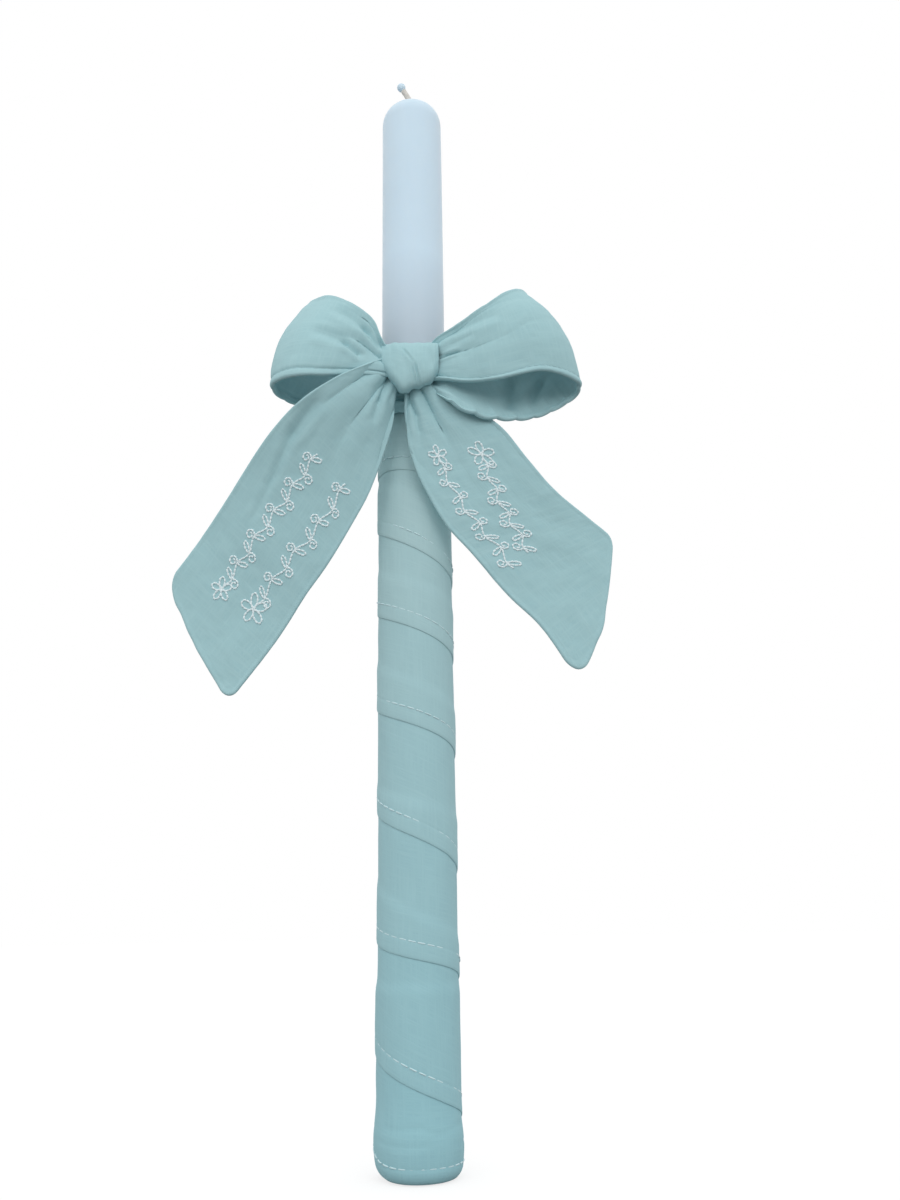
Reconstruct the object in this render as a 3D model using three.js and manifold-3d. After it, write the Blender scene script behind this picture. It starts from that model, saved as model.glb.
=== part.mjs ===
// A communion candle, its lower part wound in a muslin ribbon and tied with a muslin bow.
// Millimetres, +Z up. The origin is the centre of the base, where the candle stands.
// The bow faces -Y. X is the side, and a positive forward is towards -Y.

import * as THREE from 'three';
import Module from 'manifold-3d';
import { mergeVertices } from 'three/addons/utils/BufferGeometryUtils.js';

const wasm = await Module();
wasm.setup();

// Candle
const candleDiameter = 30;
const candleLength = 498.5;
const domeHeight = 13;
const baseRounding = 6.5;
const meniscusHeight = 0.9;
const meniscusRadius = 4;
const domeFullness = 2.3;

// Wick
const wickDiameter = 2.8;
const wickRise = 11.5;
const wickLean = 4.2;
const bendBelowTop = 2;
const beadDiameter = 4.4;

// Muslin wound round the candle
const ribbonWidth = 55;
const clothThickness = 0.8;
const baseThickness = 1.2;
const baseBevel = 0.4;
const hemCurl = 4.6;
const lapGap = 0.5;
const lapSettle = 4.5;
const climbPerWidth = 0.75;

// Bow
const bowHeight = 332;
const ribbonThickness = 1.8;
const collarHeight = 27;
const collarThickness = 3;
const collarFold = 0.7;
const knotWidth = 25.5;
const knotDepth = 19;
const knotSeat = 2;
const knotFold = 0.6;
const knotLeftShare = 0.56;
const knotSquareness = 0.8;
const knotTop = 11;
const knotDrop = 19;
const rightReach = 62;
const leftReach = 53.5;
const loopDepth = 31;
const loopRise = 17;
const tailSpan = 200;
const leftTailShare = 0.525;
const leftTailFall = 139;
const rightTailFall = 128;
const leftTailCut = 0.16;
const rightTailCut = 0.21;
const cornerRadius = 6;

// Clearances
const clearance = 0.3;
const facetAllowance = 0.15;
const leastLapGap = 0.4;

// Derived sizes
const candleRadius = candleDiameter / 2;
const candleBottom = baseThickness + clearance;
const candleTop = candleBottom + candleLength;
const wickRadius = wickDiameter / 2;
const boreRadius = wickRadius + clearance;
const layerRise = clothThickness + lapGap;
const wrapRadius = candleRadius + clearance + facetAllowance + clothThickness / 2;
const wrapOuter = wrapRadius + layerRise + clothThickness / 2;
const wrapTop = bowHeight + collarHeight / 2 - clothThickness;
const collarInner = wrapOuter + 2 * clearance;
const collarOuter = collarInner + collarThickness;
const knotBack = knotSeat - collarOuter;
const knotMiddle = knotBack - knotDepth / 2;
const leftTailSpread = tailSpan * leftTailShare;
const rightTailSpread = tailSpan - leftTailSpread;

const wax = new THREE.MeshStandardMaterial({ color: '#c8d6e0', roughness: 0.45, metalness: 0 });
const cotton = new THREE.MeshStandardMaterial({ color: '#d4d2c8', roughness: 0.95, metalness: 0 });
const muslin = new THREE.MeshStandardMaterial({ color: '#9abcc0', roughness: 0.95, metalness: 0 });

const group = new THREE.Group();

function addPiece(name, geometry, material) {
  const mesh = new THREE.Mesh(geometry, material);
  mesh.name = name;
  group.add(mesh);
  return mesh;
}

function mix(a, b, t) {
  return a + (b - a) * t;
}

// Reads a smooth curve through evenly spaced values at t from 0 to 1.
function along(values, t) {
  const last = values.length - 1;
  const place = THREE.MathUtils.clamp(t, 0, 1) * last;
  const i = Math.min(Math.floor(place), last - 1);
  const x = place - i;
  const [a, b, c, d] = [values[Math.max(i - 1, 0)], values[i], values[i + 1],
    values[Math.min(i + 2, last)]];
  const [startSlope, endSlope] = [(c - a) / 2, (d - b) / 2];
  return b + x * (startSlope + x * (3 * (c - b) - 2 * startSlope - endSlope
    + x * (2 * (b - c) + startSlope + endSlope)));
}

// Turns the faces round where the closed body would be inside out.
function facingOut(points, triangles) {
  const [a, b, c] = [new THREE.Vector3(), new THREE.Vector3(), new THREE.Vector3()];
  let volume = 0;
  for (const [i, j, k] of triangles) {
    volume += a.copy(points[i]).dot(b.copy(points[j]).cross(c.copy(points[k])));
  }
  return volume > 0 ? triangles : triangles.map(([i, j, k]) => [i, k, j]);
}

function bodyFrom(points, triangles) {
  const geometry = new THREE.BufferGeometry();
  geometry.setAttribute('position', new THREE.Float32BufferAttribute(
    points.flatMap((point) => point.toArray()), 3));
  geometry.setIndex(facingOut(points, triangles).flat());
  return geometry;
}

// A closed body between a front and a back sheet of the same rows and columns.
function slab(rows, columns, pointAt) {
  const points = [];
  for (const side of [1, -1]) {
    for (let i = 0; i < rows; i += 1) {
      for (let j = 0; j < columns; j += 1) {
        points.push(pointAt(i / (rows - 1), j / (columns - 1), side));
      }
    }
  }
  const back = rows * columns;
  const at = (i, j, sheet) => sheet + i * columns + j;
  const triangles = [];
  const quad = (a, b, c, d) => triangles.push([a, b, c], [a, c, d]);
  for (let i = 0; i < rows - 1; i += 1) {
    for (let j = 0; j < columns - 1; j += 1) {
      quad(at(i, j, 0), at(i + 1, j, 0), at(i + 1, j + 1, 0), at(i, j + 1, 0));
      quad(at(i, j, back), at(i, j + 1, back), at(i + 1, j + 1, back), at(i + 1, j, back));
    }
    quad(at(i, 0, back), at(i + 1, 0, back), at(i + 1, 0, 0), at(i, 0, 0));
    const last = columns - 1;
    quad(at(i, last, 0), at(i + 1, last, 0), at(i + 1, last, back), at(i, last, back));
  }
  for (let j = 0; j < columns - 1; j += 1) {
    const last = rows - 1;
    quad(at(0, j, 0), at(0, j + 1, 0), at(0, j + 1, back), at(0, j, back));
    quad(at(last, j, back), at(last, j + 1, back), at(last, j + 1, 0), at(last, j, 0));
  }
  return bodyFrom(points, triangles);
}

// A closed body through rings of points, with a middle point in each end.
function loft(rings) {
  const count = rings[0].length;
  const points = rings.flat();
  const triangles = [];
  for (let i = 0; i < rings.length - 1; i += 1) {
    for (let j = 0; j < count; j += 1) {
      const [a, b] = [i * count + j, i * count + (j + 1) % count];
      triangles.push([a, a + count, b + count], [a, b + count, b]);
    }
  }
  for (const [first, turned] of [[0, false], [(rings.length - 1) * count, true]]) {
    const middle = new THREE.Vector3();
    for (let j = 0; j < count; j += 1) {
      middle.addScaledVector(points[first + j], 1 / count);
    }
    const centre = points.push(middle) - 1;
    for (let j = 0; j < count; j += 1) {
      const [a, b] = [first + j, first + (j + 1) % count];
      triangles.push(turned ? [centre, b, a] : [centre, a, b]);
    }
  }
  return bodyFrom(points, triangles);
}

function toSolid(geometry) {
  const bare = geometry.clone();
  bare.deleteAttribute('normal');
  bare.deleteAttribute('uv');
  const merged = mergeVertices(bare, 1e-4);
  return new wasm.Manifold(new wasm.Mesh({
    numProp: 3,
    vertProperties: new Float32Array(merged.attributes.position.array),
    triVerts: new Uint32Array(merged.index.array),
  }));
}

function fromSolid(solid) {
  const mesh = solid.getMesh();
  const geometry = new THREE.BufferGeometry();
  geometry.setAttribute('position', new THREE.BufferAttribute(mesh.vertProperties, 3));
  geometry.setIndex(new THREE.BufferAttribute(mesh.triVerts, 1));
  return geometry;
}

// A turned body: radius and height pairs, closed on itself round a bore.
function turned(profile, sides) {
  const outline = profile.map(([radius, height]) => new THREE.Vector2(radius, height));
  const geometry = new THREE.LatheGeometry([...outline, outline[0]], sides);
  geometry.rotateX(Math.PI / 2);
  return geometry;
}

// Candle: a rounded foot, a straight side and a domed top with the wick's bore through it.
function candleProfile() {
  const foot = [];
  const footSteps = 3;
  for (let i = 0; i <= footSteps; i += 1) {
    const angle = (i / footSteps) * Math.PI / 2;
    foot.push([
      candleRadius - baseRounding * (1 - Math.sin(angle)),
      candleBottom + baseRounding * (1 - Math.cos(angle)),
    ]);
  }
  const dome = [];
  const domeSteps = 8;
  for (let i = 0; i < domeSteps; i += 1) {
    const angle = (i / domeSteps) * Math.PI / 2;
    dome.push([
      candleRadius * Math.cos(angle) ** (2 / domeFullness),
      candleTop - domeHeight + domeHeight * Math.sin(angle) ** (2 / domeFullness),
    ]);
  }
  const inner = dome.filter(([radius]) => radius > meniscusRadius);
  const rim = [boreRadius, candleTop + meniscusHeight];
  const shoulder = [mix(boreRadius, meniscusRadius, 0.4), candleTop + meniscusHeight / 3];
  return [[boreRadius, candleBottom], ...foot, ...inner, [meniscusRadius, candleTop - 0.2],
    shoulder, rim];
}

const candleSides = 48;
addPiece('candle_body', turned(candleProfile(), candleSides), wax);

// Wick: straight through the candle, then leaning to one side where it stands out.
function wickExit() {
  return new THREE.CatmullRomCurve3([
    new THREE.Vector3(0, 0, candleTop - bendBelowTop),
    new THREE.Vector3(0, 0, candleTop + meniscusHeight),
    new THREE.Vector3(-wickLean * 0.3, 0, candleTop + wickRise * 0.5),
    new THREE.Vector3(-wickLean, 0, candleTop + wickRise),
  ]);
}

function roundShape(radius, sides) {
  const shape = new THREE.Shape();
  for (let i = 0; i < sides; i += 1) {
    const angle = (i / sides) * 2 * Math.PI;
    const corner = [radius * Math.cos(angle), radius * Math.sin(angle)];
    if (i === 0) {
      shape.moveTo(...corner);
    } else {
      shape.lineTo(...corner);
    }
  }
  return shape;
}

function wick() {
  const sides = 10;
  const straight = candleTop - bendBelowTop / 2 - candleBottom;
  const inside = new THREE.CylinderGeometry(wickRadius, wickRadius, straight, sides);
  inside.rotateX(Math.PI / 2);
  inside.translate(0, 0, candleBottom + straight / 2);
  const outside = new THREE.ExtrudeGeometry(roundShape(wickRadius, sides), {
    steps: 8,
    extrudePath: wickExit(),
    bevelEnabled: false,
  });
  return fromSolid(toSolid(inside).add(toSolid(outside)));
}

addPiece('wick', wick(), cotton);

const wickEnd = wickExit().getPoint(1);
const wickDirection = wickExit().getTangent(1);
const bead = new THREE.SphereGeometry(beadDiameter / 2, 14, 10);
bead.translate(...wickEnd.addScaledVector(wickDirection, beadDiameter / 2 + clearance).toArray());
addPiece('wick_wax_tip', bead, wax);

// Winding: heights are in turns, and a whole number of turns is at the front, -Y.
// The ribbon climbs from the front to the left side, round the back and up the right side.
const stepsPerTurn = 24;
const startTuck = 17 / stepsPerTurn;
const levelHold = 0.22;
const endTuck = 13 / stepsPerTurn;
const begunOver = 0.12;
const climbShares = [0, 0.144, 0.294, 0.452, 0.611, 0.747, 0.869, 1];
const levelStart = candleBottom;
const climb = wrapTop - ribbonWidth - levelStart;
const turns = Math.max(2, Math.round(climb / (ribbonWidth * climbPerWidth)));
const firstTurn = -startTuck;
const lastTurn = turns + endTuck;

// Softens the corner where the level turn begins to climb.
function eased(turn) {
  const bend = 0.25;
  if (turn <= -bend) {
    return 0;
  }
  return turn >= bend ? turn : (turn + bend) ** 2 / (4 * bend);
}

function lowerEdge(turn) {
  const fromStart = eased(turn - levelHold);
  const climbing = turns - levelHold;
  const climbed = climbing - eased(climbing - fromStart);
  return levelStart + climb * along(climbShares, climbed / climbing);
}

// The ribbon is slanted where it climbs, so its upper edge is further up there.
function upperEdge(turn) {
  const quarter = 0.25;
  const rise = (lowerEdge(turn + quarter) - lowerEdge(turn - quarter)) / (2 * quarter);
  return lowerEdge(turn) + ribbonWidth * Math.hypot(1, rise / (2 * Math.PI * wrapRadius));
}

// How many layers of the ribbon lie under this turn at a height, from 0 to 2.
function layersUnder(turn, height) {
  let layers = 0;
  for (const below of [turn - 1, turn - 2]) {
    const begun = THREE.MathUtils.clamp((below - firstTurn) / begunOver + 1, 0, 1);
    const covered = (upperEdge(below) + lapGap + lapSettle - height) / lapSettle;
    layers += begun * THREE.MathUtils.clamp(covered, 0, 1);
  }
  return layers;
}

function wrapPoint(turn, height, side) {
  const bottom = Math.max(0, levelStart + hemCurl - height) / hemCurl;
  const level = Math.max(0, 1 - (lowerEdge(turn) - levelStart) / 2);
  const curl = level * hemCurl * (1 - Math.sqrt(1 - Math.min(bottom, 0.95) ** 2));
  const radius = wrapRadius + layerRise * layersUnder(turn, height) - curl
    + side * clothThickness / 2;
  const angle = -Math.PI / 2 - turn * 2 * Math.PI;
  return new THREE.Vector3(radius * Math.cos(angle), radius * Math.sin(angle), height);
}

// The heights across the ribbon where its section bends, each a little above the last.
const leastStep = 1;

function wrapHeights(turn) {
  const [low, high] = [lowerEdge(turn), upperEdge(turn)];
  const begun = (below) => below > firstTurn - begunOver;
  const lap = begun(turn - 1) ? Math.min(upperEdge(turn - 1) + lapGap, high - 2 * leastStep)
    : mix(low, high, 0.3);
  const secondLap = begun(turn - 2) ? upperEdge(turn - 2) + lapGap : low;
  const next = secondLap > low + 0.5 ? secondLap : low + hemCurl;
  return [low, Math.min(next, lap - leastStep), lap,
    Math.min(lap + lapSettle, high - leastStep), high];
}

function wrapRibbon() {
  const rows = Math.round((lastTurn - firstTurn) * stepsPerTurn) + 1;
  return slab(rows, 5, (u, v, side) => {
    const turn = mix(firstTurn, lastTurn, u);
    return wrapPoint(turn, wrapHeights(turn)[Math.round(v * 4)], side);
  });
}

// The least gap between the ribbon's turns, on points 1 mm apart across it at every step.
function leastGap() {
  const sampled = (turn, side) => {
    const corners = wrapHeights(turn).map((height) => wrapPoint(turn, height, side));
    return corners.slice(1).flatMap((corner, i) => {
      const pieces = Math.max(1, Math.ceil(corner.distanceTo(corners[i])));
      return Array.from({ length: pieces + 1 }, (_, k) => corners[i].clone()
        .lerp(corner, k / pieces));
    });
  };
  const facetLoss = Math.cos(Math.PI / stepsPerTurn);
  let least = Infinity;
  for (let turn = firstTurn + 1; turn <= lastTurn; turn += 1 / stepsPerTurn) {
    const over = sampled(turn, -1);
    for (const back of [1, 2]) {
      if (turn - back >= firstTurn) {
        const under = sampled(turn - back, 1);
        for (const point of over) {
          for (const other of under) {
            least = Math.min(least, point.distanceTo(other) * facetLoss);
          }
        }
      }
    }
  }
  return least;
}

const wrapGap = leastGap();
console.log(`wrap_ribbon: least gap to itself ${wrapGap.toFixed(2)} mm, wanted over ${leastLapGap}`);
addPiece('wrap_ribbon', wrapRibbon(), muslin);

// Base: a muslin disc under the candle, inside the lower edge of the first turn.
const baseRadius = wrapRadius - hemCurl + clothThickness;
addPiece('base_cover', turned([
  [0, 0], [baseRadius - baseBevel, 0], [baseRadius, baseBevel], [baseRadius, baseThickness],
  [0, baseThickness],
], 40), muslin);

// Collar: the ribbon's gathered way round the candle, with two soft folds round it.
function collar() {
  const section = [];
  const steps = 6;
  for (let i = 0; i <= steps; i += 1) {
    const share = i / steps;
    const fold = collarFold * Math.cos(share * 4 * Math.PI);
    const rounded = Math.sqrt(Math.sin(Math.PI * mix(0.12, 0.88, share)));
    section.push([
      collarInner + (collarThickness - collarFold + fold) * rounded,
      bowHeight + mix(-0.5, 0.5, share) * collarHeight,
    ]);
  }
  return turned([[collarInner, bowHeight - collarHeight / 2], ...section,
    [collarInner, bowHeight + collarHeight / 2]], 36);
}

addPiece('bow_collar', collar(), muslin);

// Knot: a folded band seated on the collar. Its outline is higher in the middle.
const knotUpper = [0.82, 0.97, 1, 1, 1];
const knotLower = [0.3, 0.72, 1, 0.86, 0.62];

function knotRing(share, grown) {
  const x = (share - knotLeftShare) * knotWidth;
  const top = bowHeight + knotTop * along(knotUpper, share);
  const bottom = bowHeight - knotDrop * along(knotLower, share);
  const pinch = 0.72 + 0.28 * Math.sqrt(Math.sin(Math.PI * mix(0.04, 0.96, share)));
  const points = [];
  const sides = 22;
  for (let i = 0; i < sides; i += 1) {
    const angle = (i / sides) * 2 * Math.PI;
    const forward = Math.sign(Math.cos(angle)) * Math.abs(Math.cos(angle)) ** knotSquareness;
    const up = Math.sign(Math.sin(angle)) * Math.abs(Math.sin(angle)) ** knotSquareness;
    const z = mix(bottom, top, (up + 1) / 2);
    const across = 0.8 * x + 0.6 * (z - bowHeight);
    const fold = knotFold * Math.cos(across * 0.7) * Math.max(0, Math.cos(angle));
    const depth = knotDepth / 2 * pinch + fold + grown;
    points.push(new THREE.Vector3(x * (1 + grown / 12), knotMiddle - forward * depth,
      z + up * grown));
  }
  return points;
}

function knotBody(grown) {
  const rings = 10;
  return loft(Array.from({ length: rings }, (_, i) => knotRing(i / (rings - 1), grown)));
}

const roundCollar = new THREE.CylinderGeometry(collarOuter + clearance, collarOuter + clearance,
  2 * collarHeight, 48);
roundCollar.rotateX(Math.PI / 2);
roundCollar.translate(0, 0, bowHeight);
const behindKnot = toSolid(roundCollar);
const knot = toSolid(knotBody(0)).subtract(behindKnot);
addPiece('bow_knot', fromSolid(knot), muslin);
const roomForKnot = toSolid(knotBody(clearance + facetAllowance)).add(behindKnot);

// A ribbon of the bow: its middle line, the way across it, and its width along the way.
// Points are x, forward of the winding, and height above the middle of the bow.
function ribbon({ path, across, width, bulge, pleat, end }) {
  const line = new THREE.CatmullRomCurve3(path.map(([x, forward, rise]) => (
    new THREE.Vector3(x, -wrapOuter - forward, bowHeight + rise))), false, 'catmullrom', 0.5);
  const acrossAt = (t) => new THREE.Vector3(along(across.map((a) => a[0]), t),
    -along(across.map((a) => a[1]), t), along(across.map((a) => a[2]), t)).normalize();
  const middle = (u, v) => {
    const t = THREE.MathUtils.clamp(u * end(v), 0, 1);
    const way = acrossAt(t);
    const half = ribbonWidth / 2 * along(width, t);
    const normal = new THREE.Vector3().crossVectors(line.getTangent(t), way).normalize();
    const gathered = Math.max(0, 1 - along(width, t));
    const folds = pleat * gathered * Math.cos(4 * Math.PI * v);
    const crown = along(bulge, t) * (1 - (2 * v - 1) ** 2);
    return line.getPoint(t).addScaledVector(way, half * (2 * v - 1))
      .addScaledVector(normal, folds + crown);
  };
  const normalAt = (u, v) => {
    const step = 0.01;
    const [u0, u1] = [Math.max(0, u - step), Math.min(1, u + step)];
    const [v0, v1] = [Math.max(0, v - step), Math.min(1, v + step)];
    return middle(u1, v).sub(middle(u0, v)).cross(middle(u, v1).sub(middle(u, v0))).normalize();
  };
  return { line, middle, normalAt };
}

function ribbonBody(sheet, rows, thickness) {
  const columns = 9;
  return toSolid(slab(rows, columns, (u, v, side) => sheet.middle(u, v)
    .addScaledVector(sheet.normalAt(u, v), side * thickness / 2)));
}

const loopRows = 28;
const tailRows = 26;

// The largest body that is left when the room of its neighbours is cut away.
function clearOf(body, neighbours) {
  const left = neighbours.reduce((rest, room) => rest.subtract(room), body).decompose();
  return fromSolid(left.reduce((a, b) => (a.volume() > b.volume() ? a : b)));
}

function addRibbon(name, sheet, rows, neighbours) {
  const body = ribbonBody(sheet, rows, ribbonThickness);
  addPiece(name, clearOf(body, [roomForKnot, ...neighbours]), muslin);
  return ribbonBody(sheet, rows, ribbonThickness + 2 * (clearance + facetAllowance));
}

const square = () => 1;

// The right loop goes out in front, turns at its far fold and comes back beside the candle.
const loopRight = ribbon({
  path: [
    [0.1, 0.32, 0], [0.37, 0.64, 0.26], [0.59, 0.77, 0.41], [0.81, 0.71, 0.82], [0.94, 0.5, 1.03],
    [0.99, 0.21, 1.03], [0.88, -0.09, 0.85], [0.63, -0.22, 0.44], [0.38, -0.13, 0.2],
    [0.1, 0.16, 0],
  ].map(([out, forward, rise]) => [out * rightReach, forward * loopDepth, rise * loopRise]),
  across: [
    [0, 0, 1], [-0.09, 0, 1], [-0.2, 0, 1], [-0.32, 0, 1], [-0.44, 0, 1],
    [-0.48, 0, 1], [-0.43, 0, 1], [-0.32, 0, 1], [-0.21, 0, 1], [0, 0, 1],
  ],
  width: [0.4, 0.56, 0.7, 0.8, 0.87, 0.92, 0.94, 0.86, 0.6, 0.4],
  bulge: [0, 0, 1, 3, 6, 7, 5, 2, 0, 0],
  pleat: 2.2,
  end: square,
});
const roomForLoopRight = addRibbon('bow_loop_right', loopRight, loopRows, []);

// The left loop leans back at its top, so its mouth shows below.
const loopLeft = ribbon({
  path: [
    [-0.12, 0.32, 0.1], [-0.41, 0.61, 0.44], [-0.61, 0.74, 0.59], [-0.8, 0.68, 0.74],
    [-0.93, 0.47, 0.76], [-0.99, 0.2, 0.85], [-0.91, -0.08, 0.82], [-0.75, -0.22, 0.59],
    [-0.49, -0.13, 0.35], [-0.12, 0.15, 0.1],
  ].map(([out, forward, rise]) => [out * leftReach, forward * loopDepth, rise * loopRise]),
  across: [
    [0, 0, 1], [0.24, -0.1, 1], [0.35, -0.2, 1], [0.36, -0.3, 1], [0.38, -0.3, 1],
    [0.37, -0.3, 1], [0.4, -0.25, 1], [0.42, -0.2, 1], [0.28, -0.1, 1], [0, 0, 1],
  ],
  width: [0.4, 0.5, 0.64, 0.84, 0.95, 1, 1, 0.8, 0.52, 0.4],
  bulge: [0, 0, -1, -2, -5, -6, -4, -2, 0, 0],
  pleat: 2.2,
  end: square,
});
const roomForLoopLeft = addRibbon('bow_loop_left', loopLeft, loopRows, []);

// A slanted end with two rounded corners. Its outer corner, at v = 1, is the shorter side.
function slantedEnd(length, cut) {
  return (v) => {
    const fromMiddle = Math.abs(2 * v - 1) * ribbonWidth / 2;
    const into = Math.max(0, fromMiddle - (ribbonWidth / 2 - cornerRadius)) / cornerRadius;
    return 1 - cut * v - (cornerRadius / length) * (1 - Math.sqrt(1 - Math.min(into, 1) ** 2));
  };
}

const tailLeft = ribbon({
  path: [
    [-0.09, 0.42, -0.03], [-0.16, 0.78, -0.11], [-0.24, 0.8, -0.2], [-0.34, 0.55, -0.28],
    [-0.48, 0.24, -0.42], [-0.64, 0, -0.6], [-0.82, -0.17, -0.8], [-1, -0.26, -1],
  ].map(([out, forward, fall]) => [out * leftTailSpread, forward * loopDepth, fall * leftTailFall]),
  across: [
    [-0.4, 0.1, 1], [-0.65, 0.28, 1], [-1, 0.6, 0.95], [-1, 0.42, 0.68], [-1, 0.28, 0.5],
    [-1, 0.12, 0.45], [-1, 0.05, 0.47], [-1, 0, 0.5],
  ],
  width: [0.3, 0.46, 0.62, 0.82, 0.92, 0.96, 0.96, 0.97],
  bulge: [0, 0, 0, 1, 1, 1, 0, 0],
  pleat: 1.8,
  end: slantedEnd(Math.hypot(leftTailSpread, leftTailFall), leftTailCut),
});
const roomForTailLeft = addRibbon('bow_tail_left', tailLeft, tailRows, [roomForLoopLeft]);

const tailRight = ribbon({
  path: [
    [0.05, 0.36, -0.08], [0.07, 0.52, -0.17], [0.15, 0.54, -0.26], [0.24, 0.37, -0.36],
    [0.38, 0.19, -0.51], [0.58, 0, -0.66], [0.79, -0.12, -0.83], [1, -0.2, -1],
  ].map(([out, forward, fall]) => [
    out * rightTailSpread, forward * loopDepth, fall * rightTailFall]),
  across: [
    [1, 0.1, 0.5], [1, 0.2, 0.3], [1, 0.2, 0.26], [1, 0.12, 0.22], [1, 0.03, 0.2],
    [1, -0.1, 0.3], [1, -0.2, 0.5], [1, -0.25, 0.7],
  ],
  width: [0.22, 0.38, 0.62, 0.84, 0.96, 1, 1, 1],
  bulge: [0, 0, 0, -1, -1, -1, 0, 0],
  pleat: 1.8,
  end: slantedEnd(Math.hypot(rightTailSpread, rightTailFall), rightTailCut),
});
addRibbon('bow_tail_right', tailRight, tailRows, [roomForLoopRight, roomForTailLeft]);

export default group;
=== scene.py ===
"""The looks of a communion candle that is wound and tied in muslin.

Sizes are in millimetres, as a maker gives them, and become metres where a mesh is made.
X is to the side, the bow faces -Y, and Z is up from the table the candle stands on.

Muslin is meshed by its place on the flat cloth, so its weave follows each fold. The back's
weave is read BACK_PATCH further on, so that it isn't the front's. CRINKLES are the sizes of
the bow's crinkle: a share of its depth, and its wavelengths along and across the ribbon.
Each RIM is how far in from an edge the mesh's close columns are, and the knot's is a share.
"""

import enum
import itertools
import logging
import math
from collections.abc import Callable
from dataclasses import dataclass, field

import bpy
import numpy as np
from mathutils import Matrix, Vector


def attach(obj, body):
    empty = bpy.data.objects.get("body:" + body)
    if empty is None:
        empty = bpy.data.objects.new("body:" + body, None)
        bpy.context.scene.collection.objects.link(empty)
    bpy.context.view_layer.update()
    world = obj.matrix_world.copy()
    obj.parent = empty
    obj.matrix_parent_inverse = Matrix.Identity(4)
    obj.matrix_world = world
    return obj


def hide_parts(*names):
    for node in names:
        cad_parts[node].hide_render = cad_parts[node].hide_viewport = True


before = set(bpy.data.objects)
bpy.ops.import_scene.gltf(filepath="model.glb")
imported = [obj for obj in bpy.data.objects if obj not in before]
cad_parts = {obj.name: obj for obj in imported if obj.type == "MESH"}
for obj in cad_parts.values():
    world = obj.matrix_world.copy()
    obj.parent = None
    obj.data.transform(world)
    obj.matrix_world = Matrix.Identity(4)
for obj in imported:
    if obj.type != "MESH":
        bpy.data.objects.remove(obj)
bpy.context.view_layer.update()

MM = 0.001
BODY = "root"
CLOTH = "cloth_mm"
BACK_PATCH = 9
CRINKLES = ((1.0, 15.0, 10.0), (0.4, 6.0, 7.0), (0.22, 2.6, 2.8))
STRIP_RIM = (0, 0.12, 0.35, 0.7, 1.1, 1.6, 2.1, 2.5, 2.8, 3.1, 3.4, 3.7, 4.0, 4.3, 4.7)
WINDING_RIM = (0, 0.15, 0.4, 0.8, 1.6, 2.8, 4.0, 5.0, 5.6, 6.0, 6.3, 6.6, 7.0, 7.6)
KNOT_RIM = (0, 0.004, 0.012, 0.025, 0.04)
log = logging.getLogger("candle")

Array = np.ndarray
Tree = bpy.types.NodeTree
Socket = bpy.types.NodeSocket
Material = bpy.types.Material
Piece = bpy.types.Object
Colour = tuple[float, float, float, float]
Pair = tuple[float, float]
Triple = tuple[float, float, float]


def linear(hex_colour: str) -> Colour:
    """Turns an sRGB colour into linear light.

    Args:
        hex_colour: The colour as "#rrggbb".

    Returns:
        Red, green, blue and an alpha of 1.
    """
    shown = [int(hex_colour[i:i + 2], 16) / 255 for i in (1, 3, 5)]
    light = [c / 12.92 if c <= 0.04045 else ((c + 0.055) / 1.055) ** 2.4 for c in shown]
    return (*light, 1.0)


def mix(a: Array | float, b: Array | float, t: Array | float) -> Array:
    """Gives the value a share t of the way from a to b."""
    return a + (b - a) * t


def ease(t: Array | float) -> Array:
    """Turns a ramp from 0 to 1 into one with soft ends, and holds it there outside."""
    t = np.clip(t, 0, 1)
    return t * t * (3 - 2 * t)


def along(values: Array | list | tuple, t: Array | float) -> Array:
    """Reads a smooth curve that passes through evenly spaced values.

    Args:
        values: The values, each a number or a row of numbers.
        t: Where to read, from 0 at the first value to 1 at the last.

    Returns:
        The curve's value at each t.
    """
    values = np.asarray(values, float)
    held = np.concatenate([[2 * values[0] - values[1]], values, [2 * values[-1] - values[-2]]])
    last = len(values) - 1
    place = np.clip(np.asarray(t, float), 0, 1) * last
    i = np.minimum(place.astype(int), last - 1)
    x = place - i
    if values.ndim > 1:
        x = x[..., None]
    a, b, c, d = (held[i + k] for k in range(4))
    return b + 0.5 * x * (c - a + x * (2 * a - 5 * b + 4 * c - d + x * (3 * (b - c) + d - a)))


def unit(vectors: Array) -> Array:
    """Scales each vector to a length of 1."""
    return vectors / np.maximum(np.linalg.norm(vectors, axis=-1, keepdims=True), 1e-9)


def walked(path: Array) -> Array:
    """Gives how far along a path of close points each of them is."""
    return np.concatenate([[0], np.cumsum(np.linalg.norm(np.diff(path, axis=0), axis=1))])


def ring(count: int) -> Array:
    """Gives evenly spaced angles all the way round."""
    return np.linspace(0, 2 * np.pi, count, endpoint=False)


def away(angle: Array) -> Array:
    """Gives the level way at each angle, as two numbers."""
    return np.stack([np.cos(angle), np.sin(angle)], -1)


def pushed_out(points: Array, least: Array | float) -> Array:
    """Pushes out what lies too near the candle's middle line.

    Args:
        points: The points.
        least: The least radius that each may have.

    Returns:
        The points, with those inside it moved straight out to it.
    """
    radius = np.hypot(points[..., 0], points[..., 1])
    grown = np.maximum(least / np.maximum(radius, 1e-6), 1)
    return points * np.stack([grown, grown, np.ones_like(grown)], -1)


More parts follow.
